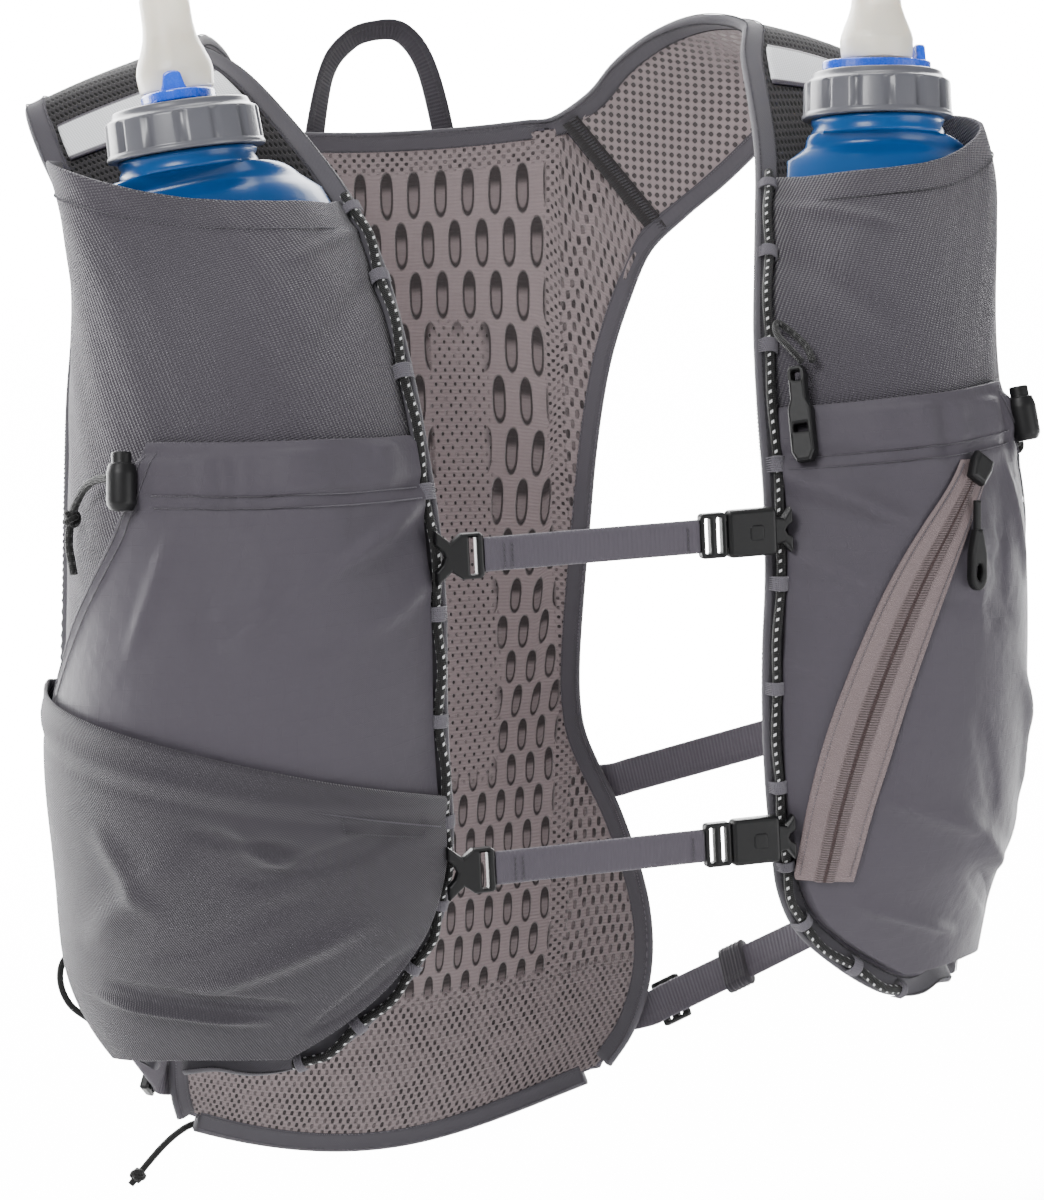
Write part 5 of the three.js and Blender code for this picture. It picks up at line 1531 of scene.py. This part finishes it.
def make_laces():
    for name, side in SIDES:
        row = np.linspace(*LACE_ENDS, 400)
        points, outs = lace_at(row, side)
        place = np.interp(row, TACK_ROWS, np.arange(len(TACK_ROWS)))
        bulge = np.sin(np.pi * (place % 1)) ** 2 * ((row > TACK_ROWS[0]) & (row < TACK_ROWS[-1]))
        wide = unit(np.cross(unit(np.gradient(points, axis=0)), outs))
        toward = np.where((wide[:, 0] * side > 0)[:, None], -wide, wide)
        points = points + outs * (bulge * .0008 - .0002)[:, None] + toward * (bulge * .0014)[:, None]
        obj = round_cord(f"lace_{name}", points, BUNGEE, "lace")
        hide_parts(f"lace_cord_{name}")
        tacks = []
        for at in TACK_ROWS:
            for k in range(TACK["threads"]):
                r = at + (k - TACK["threads"] // 2) * TACK["pitch"]
                middle, out = lace_at(r, side, BINDING_THICK / 2)
                side_way = unit(np.cross(unit(lace_at(r + .05, side)[0] - lace_at(r - .05, side)[0]), out))
                bend = np.linspace(-1, 1, 9)
                height = (1 - bend ** 2) ** .5 * (BUNGEE + 2 * GAP + .0002) + .0001
                spots = middle + side_way * (bend * TACK["half"])[:, None] + out * height[:, None]
                outs = np.repeat(out[None], 9, axis=0)
                tacks.append(small_tube(spots, outs, TACK["thread"], TACK["thread"]))
        joined(f"lace_bartacks_{name}", tacks, "thread")


def flat_tape(name, points, outs, width, thick, material, node):
    obj = sweep(name, points, outs, tape_section(width, thick), material)
    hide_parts(node)
    return obj


def make_sternum():
    for name in ("upper", "lower"):
        low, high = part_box(f"sternum_strap_{name}")
        y, z = (low[1] + high[1]) / 2, (low[2] + high[2]) / 2
        x = np.linspace(low[0], high[0], 60)
        points = np.stack([x, np.full(60, y), np.full(60, z)], axis=1)
        outs = np.repeat(vec(0, -1, 0)[None], 60, axis=0)
        flat_tape(f"sternum_webbing_{name}", points, outs, WEBBING, 2 * WEBBING_THICK, "webbing",
                  f"sternum_strap_{name}")
        threads = []
        for at in (low[0] + .006, low[0] + .0085, high[0] - .004):
            zs = np.linspace(z - WEBBING * .42, z + WEBBING * .42, 20)
            line = np.stack([np.full(20, at), np.full(20, y - WEBBING_THICK - .0001), zs], axis=1)
            threads += stitch_line(line, outs[:20], "webbing")
        joined(f"sternum_stitches_{name}", threads, "thread_dark")
        make_hardware(name)


BUCKLE_LENGTH = .016
BUCKLE_HEIGHT = .0148
BUCKLE_WALL = .0012
LADDER_LENGTH = .0085
LADDER_HEIGHT = .014


def make_hardware(name):
    """Hooks and the buckle's halves, made as plates with rounded edges in the places of their own solids."""
    turn = np.array([[1, 0, 0], [0, 0, 1], [0, 1, 0]], float)
    low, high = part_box(f"sternum_hook_{name}")
    centre = (np.array(low) + np.array(high)) / 2
    w, h = (high[0] - low[0]) / 2, (high[2] - low[2]) / 2
    jaws = [(-w, -h), (-w * .35, -h * .52), (w * .1, -h * .82), (w * .85, -h * .82), (w, -h * .7),
            (w, h * .7), (w * .85, h * .82), (w * .1, h * .82), (-w * .35, h * .52), (-w, h),
            (-w, h * .5), (-w * .72, h * .25), (-w * .6, 0), (-w * .72, -h * .25), (-w, -h * .5)]
    slot_hole = box_outline(.0022, WEBBING + .001, .0005, w * .55)
    obj = bevelled(f"hook_{name}", [jaws, slot_hole], high[1] - low[1], .0008, "plastic", centre, turn)
    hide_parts(f"sternum_hook_{name}")

    low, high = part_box(f"sternum_buckle_male_{name}")
    y, z = (low[1] + high[1]) / 2, (low[2] + high[2]) / 2
    length = LADDER_LENGTH
    at = low[0] + length / 2
    ladder = box_outline(length, LADDER_HEIGHT, .0012)
    holes = [box_outline(.0018, WEBBING + .0006, .0004, x * length * .225) for x in (-1, 1)]
    obj = bevelled(f"ladder_{name}", [ladder, *holes], .004, .0007, "plastic", vec(at, y, z), turn)
    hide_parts(f"sternum_buckle_male_{name}")
    tongue_end = high[0]
    half = BUCKLE_HEIGHT / 2 - BUCKLE_WALL - GAP
    a = at + length / 2 - .0005
    tongue = [(0, -half * .7), (tongue_end - a, -half), (tongue_end - a, half), (0, half * .7)]
    bevelled(f"tongue_{name}", [tongue], .0024, .0005, "plastic", vec(a, y, z), turn)

    low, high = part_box(f"sternum_buckle_female_{name}")
    z = (low[2] + high[2]) / 2
    length, d = BUCKLE_LENGTH, BUCKLE_HEIGHT / 2
    middle = low[0] + length / 2
    shell = box_outline(length, BUCKLE_HEIGHT, .0016)
    window = box_outline(length * .3, BUCKLE_HEIGHT * .34, .0012, .0012)
    obj = bevelled(f"buckle_shell_{name}", [shell], .0054, .0013, "plastic", vec(middle, y, z), turn)
    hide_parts(f"sternum_buckle_female_{name}")
    bevelled(f"buckle_window_{name}", [window], .0060, .0006, "trim", vec(middle, y, z), turn)
    end = high[0] - middle
    clip = [(length / 2 - .001, -d * .6), (end - .003, -d * .5), (end - .0006, -d * .95), (end, -d * .8),
            (end, -d * .3), (end - .0018, -d * .15), (end - .0024, 0), (end - .0018, d * .15),
            (end, d * .3), (end, d * .8), (end - .0006, d * .95), (end - .003, d * .5),
            (length / 2 - .001, d * .6)]
    bevelled(f"buckle_clip_{name}", [clip], .004, .0008, "plastic", vec(middle, y, z), turn)


# level, row on the front panel, row on the back
SIDE_STRAPS = (("upper", 9.05, 5.64), ("lower", 10.8, 8.8))
STRAP_BOW = .005
KEEPER_WIDTH = .017
KEEPER_THICK = .0056
KEEPER_SEGMENT = 6


def side_strap(front, back, side):
    """Points of a side strap from inside the front panel to the back's outer face."""
    clear = BINDING_THICK / 2 + 2 * GAP + WEBBING_THICK / 2
    start = [on_panel(a, front, side, -clear) for a in (.84, .93)]
    edge, edge_out = on_panel(1.0, front, side, -clear)
    end = [on_back(side * a, back, clear + .0005) for a in (.99, .86)]
    out = unit(edge * vec(1, 0, 0))
    span = []
    for t in np.linspace(.04, .94, 7):
        bow = STRAP_BOW * math.sin(math.pi * math.sqrt(t))
        span.append((mix(edge, end[0][0], t) + out * bow, unit(mix(edge_out, end[0][1], t))))
    return chain(*start, *span, *end)


def make_side_straps():
    for name, side in SIDES:
        for level, front, back in SIDE_STRAPS:
            raw, raw_outs = side_strap(front, back, side)
            points, outs = refine(raw, raw_outs, 90)
            node = f"side_strap_{level}_{name}"
            flat_tape(f"side_webbing_{level}_{name}", points, outs, SIDE_WEBBING, WEBBING_THICK, "webbing",
                      node)
            if level == "lower":
                _, wide, out = stations(raw, raw_outs)
                at = len(raw) - 3
                lift = WEBBING_THICK / 2 + 2 * GAP + .0015
                turn = np.stack([np.cross(wide[at], out[at]), wide[at], out[at]], axis=1)
                frame_line = box_outline(.012, SIDE_WEBBING + .004, .001)
                holes = [box_outline(.0022, SIDE_WEBBING + .001, .0005, x * .0025) for x in (-1, 1)]
                obj = bevelled(f"ladder_lock_plate_{name}", [frame_line, *holes], .003, .0007, "plastic",
                               raw[at] + raw_outs[at] * lift, turn)
                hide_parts(f"ladder_lock_{name}")
    raw, raw_outs = side_strap(*SIDE_STRAPS[1][1:], 1)
    _, wide, out = stations(raw, raw_outs)
    start, end = raw[KEEPER_SEGMENT], raw[KEEPER_SEGMENT + 1]
    points = np.stack([mix(start, end, .5) + unit(end - start) * d for d in np.linspace(-.005, .005, 24)])
    outs = np.repeat(out[KEEPER_SEGMENT][None], 24, axis=0)
    ribs = 1 + .02 * np.sin(np.linspace(0, 5 * 2 * math.pi, 24))
    section = tape_section(KEEPER_WIDTH, KEEPER_THICK, .96, 7)
    obj = sweep("cloth_keeper", points, outs, section, "web_dark", ribs)
    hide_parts("strap_keeper_left")


def make_haul_loop():
    rise = rows([-.156, .832, -.022], [-.094, .864, .007], [-.03, .872, .016], [.035, .864, .012],
                [.081, .832, -.022]) * MAIN
    clear = BINDING_THICK / 2 + 2 * GAP + WEBBING_THICK / 2
    left = [on_back(a, r, clear) for a, r in ((-.4, .42), (-.385, .2))]
    right = [on_back(a, r, clear) for a, r in ((.185, .2), (.2, .42))]
    up = [(p, unit(vec((k - 2) * .3, .9, .5 - abs(k - 2) * .2))) for k, p in enumerate(rise)]
    points, outs = refine(*chain(*left, *up, *right), 110)
    flat_tape("haul_webbing", points, outs, HAUL_WEBBING, WEBBING_THICK, "web_dark", "haul_loop")


def make_bands():
    for name, side in SIDES:
        j, i = np.linspace(0, 1, 13)[:, None], np.linspace(0, 1, 33)[None, :]
        row = mix(3.86, 4.4, j) + 0 * i
        across = mix(margin(TRIM, row, "neck"), 1 - margin(arm_trim(side), row, "arm"), i)
        point, out = on_panel(across, row, side, PANEL / 2 + GAP + BAND_THICK / 2)
        edge = np.abs(2 * j - 1) + 0 * i
        obj = cloth(f"reflective_strip_{name}", point, out, BAND_THICK, lengths(point), ["band", "band"],
                    attributes={"edge": edge})
        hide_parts(f"shoulder_band_{name}")


def zip_place(share, shift, lift):
    """A place on the zip's line, shifted across it and lifted off the pocket."""
    row_across = row_at(ZIP_LINE, share * (len(ZIP_LINE) - 1))
    row, across = row_across[..., 0], row_across[..., 1]
    at = across + shift / panel_width(row)
    out = outward(pocket_point, at, row)
    total = FRONT_LIFT + POCKET_NYLON / 2 + fold(at, row) + lift
    return placed(pocket_point(at, row) + out * total[..., None], 1, row), out


ZIP_THICK = .001
ZIP_WIDTH = .012


def make_zip():
    lift = ZIP_THICK
    j, i = np.meshgrid(np.linspace(0, 1, 121), np.linspace(-.5, .5, 17), indexing="ij")
    point, out = zip_place(j, i * ZIP_WIDTH, lift)
    raised = np.where(np.abs(i) < .16, .0007, 0)
    uv = np.stack([lengths(point)[..., 1], i * ZIP_WIDTH / MM], axis=-1)
    obj = cloth("zip_tape_and_coil", settle(point, out, raised), out, ZIP_THICK, uv, ["zip", "zip"])
    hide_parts("zip_tape")
    threads = []
    for way in (-.42, .42):
        line, outs = zip_place(np.linspace(.01, .99, 90), way * ZIP_WIDTH, lift + ZIP_THICK / 2)
        threads += stitch_line(line, outs, "zip")
    joined("zip_stitches", threads, "thread")
    head, head_out = zip_place(np.array(.03), 0.0, lift + ZIP_THICK / 2 + GAP + .002)
    down = zip_place(np.array(.12), 0.0, lift)[0] - zip_place(np.array(0.0), 0.0, lift)[0]
    stand = upright(seat_turn(np.cross(head_out, down), -down))
    body = [(-.003, -.0045), (.003, -.0045), (.004, .001), (.0036, .0045), (-.0036, .0045), (-.004, .001)]
    obj = bevelled("zip_bead", [body], .004, .0014, "trim", head, stand)
    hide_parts("zip_slider")
    across, row, t, h = .315, 8.14, .0036, .019
    rise = FRONT_LIFT + POCKET_NYLON / 2 + float(fold(across, row)) + lift + ZIP_THICK / 2 - GAP + t / 2
    at, out, fall = seat_on(pocket_point, across, row, rise, 1)
    stand = upright(seat_turn(np.cross(out, fall), -fall))
    drop = (arc(0, -h * .26, .0032, h * .24, -math.pi, 0, 13)
            + [(.0030, h * .1), (.0018, h * .4), (.0012, h / 2), (-.0012, h / 2), (-.0018, h * .4),
               (-.0030, h * .1)])
    obj = bevelled("zip_pull", [drop, ellipse(0, -h * .2, .0012, .0026, 16)], t, .001,
                   "rubber", at, stand)
    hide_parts("zip_puller")
    stem = [(-.0011, h / 2 - .001), (.0011, h / 2 - .001), (.0011, h / 2 + .009), (-.0011, h / 2 + .009)]
    bevelled("zip_pull_stem", [stem], .0022, .0008, "rubber", at, stand)


def seat_on(surface, across, row, lift, side):
    """A place above a pocket, and the directions out of its cloth and down along it."""
    out = outward(surface, across, row)
    down = surface(across, row + .1) - surface(across, row)
    return placed((surface(across, row) + out * lift)[None], side, np.array([row]))[0], out, down


def upright(turn):
    """Directions for a plate that lies flat in a seated piece's x and z."""
    return np.stack([turn[:, 0], turn[:, 2], -turn[:, 1]], axis=1)


def seat_turn(x, z):
    """Directions of a seated piece: x along one given way, z nearly along the other."""
    along = unit(x)
    side = unit(np.cross(z, along))
    return np.stack([along, side, np.cross(along, side)], axis=1)


def make_whistle():
    across, row, lift = .078, 7.36, FRONT_LIFT + POCKET_NYLON / 2 + 1.5 * GAP + .0027
    at, out, down = seat_on(bottle_point, across, row, lift, 1)
    stand = upright(seat_turn(np.cross(out, down), -down))
    w, h = .0038, .015
    body = [(-w * .6, -h), (w * .6, -h), (w, -h * .8), (w, h * .1), (w * .7, h * .3), (w * .7, h * .92),
            (w * .5, h), (-w * .5, h), (-w * .7, h * .92), (-w * .7, h * .3), (-w, h * .1), (-w, -h * .8)]
    holes = [box_outline(.003, .003, .0008, 0, h * .8), box_outline(w * 1.2, .0024, .0005, 0, -h * .3)]
    obj = bevelled("whistle_body", [body, *holes], .0054, .001, "trim", at, stand)
    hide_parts("whistle")
    return obj


def make_cord_locks():
    for name, side in SIDES:
        body, length, button, press = .009, .014, .006, .0035
        lift = FRONT_LIFT + POCKET_NYLON / 2 + (5 if side > 0 else 3) * GAP + body / 2
        at, out, down = seat_on(bottle_point, .56, 7.42, lift, side)
        turn = seat_turn(mirrored(out, side), -mirrored(down, side))
        profile = rounded([[.0005, -length / 2], [body * .36, -length / 2], [body / 2, -length * .36],
                           [body / 2, length * .3], [body * .42, length / 2], [button / 2, length / 2],
                           [button / 2, length / 2 + press], [.0005, length / 2 + press]], .0007)
        obj = turned(f"cord_lock_body_{name}", profile, (at, turn), "trim", 40)
        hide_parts(f"cord_lock_{name}")


# free cords; their points repeat the part's own, in shares of the main sizes
DRAWCORD = rows([.96, -.9496, -.3198], [.9788, -.888, -.3225], [.9938, -.828, -.3313],
                [1.0081, -.776, -.3488], [1.0163, -.7544, -.3713], [1.015, -.784, -.395])
WHISTLE_CORD = rows([.3975, -1.0224, -.268], [.3844, -.996, -.2588], [.3719, -.948, -.2475],
                    [.3812, -.916, -.2388], [.4031, -.94, -.2462], [.4188, -.988, -.2575],
                    [.42, -1.0224, -.268])
HEM_CORD = rows([-.6075, .7248, -.9558], [-.6344, .7168, -.9575], [-.6656, .704, -.9625],
                [-.7, .692, -.9713], [-.7406, .6784, -.985], [-.7812, .664, -1])
SIDE_LOOP = rows([-1.0069, -.352, -.71], [-1.0331, -.36, -.7225], [-1.0375, -.364, -.7388],
                 [-1.0219, -.372, -.755], [-.9881, -.384, -.7675])
LEFT_CORD_SHIFT = .0025


def knot_at(name, points, share, diameter):
    """A small overhand knot round a cord."""
    k = int(share * (len(points) - 1))
    along = unit(points[min(k + 2, len(points) - 1)] - points[k - 2])
    side = unit(np.cross(along, vec(.2, .3, .9)))
    up = np.cross(along, side)
    t = np.linspace(0, 2 * math.pi, 60)
    reach = diameter * (.62 + .18 * np.cos(3 * t))
    ring = (points[k] + side * (np.cos(2 * t) * reach)[:, None] + up * (np.sin(2 * t) * reach)[:, None]
            + along * (np.sin(3 * t) * diameter * .55)[:, None])
    return round_cord(name, ring, diameter * .8, "cord", sides=10)


def free_cord(name, node, table, diameter, knot=None, holds=None):
    """A free cord along a table's points, with a knot at a share of its length. The piece it holds is not
    used.
    """
    points = catmull(table, 90)
    obj = round_cord(name, points, diameter, "cord")
    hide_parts(node)
    end = knot_at(name + "_knot", points, knot, diameter) if knot else holds


def make_cords(whistle):
    for name, side in SIDES:
        table = DRAWCORD * MAIN
        table[:, 0] = side * (drawn_in(table[:, 0], side) - (LEFT_CORD_SHIFT if side > 0 else 0))
        free_cord(f"drawcord_end_{name}", f"drawcord_{name}", table, CORD, .62)
    free_cord("whistle_string", "whistle_cord", WHISTLE_CORD * MAIN, LOOP_CORD, holds=whistle)
    free_cord("hem_cord_end", "hem_cord", HEM_CORD * MAIN, CORD, .88)
    loop = round_cord("elastic_side_loop", catmull(SIDE_LOOP * MAIN, 60), LOOP_CORD, "cord")
    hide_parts("side_loop_right")


# studio


def area_light(name, place, aim, size, power):
    data = bpy.data.lights.new(name, "AREA")
    data.shape = "SQUARE"
    data.size = size
    data.energy = power
    light = bpy.data.objects.new(name, data)
    way = (Vector(aim) - Vector(place)).normalized()
    light.rotation_euler = way.to_track_quat("-Z", "Y").to_euler()
    light.location = place
    bpy.context.scene.collection.objects.link(light)


# the backdrop's wall and half width, its bend, and where along y it starts and ends to glow
STAGE = {"below": .25, "front": -3.0, "wall": 4.5, "half": 5.0, "top": 5.0, "bend": .6}
GLOW = (.35, .8, 13.0)
WORLD = 0.4


def make_studio():
    g = Graph("pale backdrop")
    g.set(Base_Color=(.6, .6, .6), Roughness=.9, Specular_IOR_Level=.1)
    spot = g.node("ShaderNodeSeparateXYZ")
    g.put(spot.inputs[0], g.xyz())
    start, end, strength = GLOW
    g.set(Emission_Color=(1, 1, 1), Emission_Strength=g.mul(g.step(spot.outputs[1], start, end), strength))
    floor_z, wall_y, bend = cad_low[2] - STAGE["below"], STAGE["wall"], STAGE["bend"]
    profile = [(STAGE["front"], floor_z), (wall_y - bend, floor_z)]
    profile += arc(wall_y - bend, floor_z + bend, bend, bend, -math.pi / 2, 0, 14)
    profile += [(wall_y, STAGE["top"])]
    verts = [(x, y, z) for y, z in profile for x in (-STAGE["half"], STAGE["half"])]
    faces = [(2 * k, 2 * k + 1, 2 * k + 3, 2 * k + 2) for k in range(len(profile) - 1)]
    mesh = bpy.data.meshes.new("backdrop")
    mesh.from_pydata(verts, [], faces)
    mesh.materials.append(g.material)
    mesh.polygons.foreach_set("use_smooth", [True] * len(faces))
    obj = bpy.data.objects.new("backdrop", mesh)
    bpy.context.scene.collection.objects.link(obj)
    world = bpy.data.worlds.new("studio")
    world.use_nodes = True
    background = world.node_tree.nodes["Background"]
    background.inputs["Color"].default_value = (1, 1, 1, 1)
    background.inputs["Strength"].default_value = WORLD
    bpy.context.scene.world = world
    area_light("key", (-1.1, -1.2, .9), (0, 0, -.2), .7, 34)
    area_light("fill", (1.1, -1.3, -.3), (0, 0, -.25), 1.0, 15)
    area_light("top", (.1, .2, 1.5), (0, 0, -.2), .8, 16)


make_panels()
make_back()
make_bindings()
make_pockets()
make_flasks()
make_laces()
make_sternum()
make_side_straps()
make_haul_loop()
make_bands()
make_zip()
make_cord_locks()
make_cords(make_whistle())
make_studio()
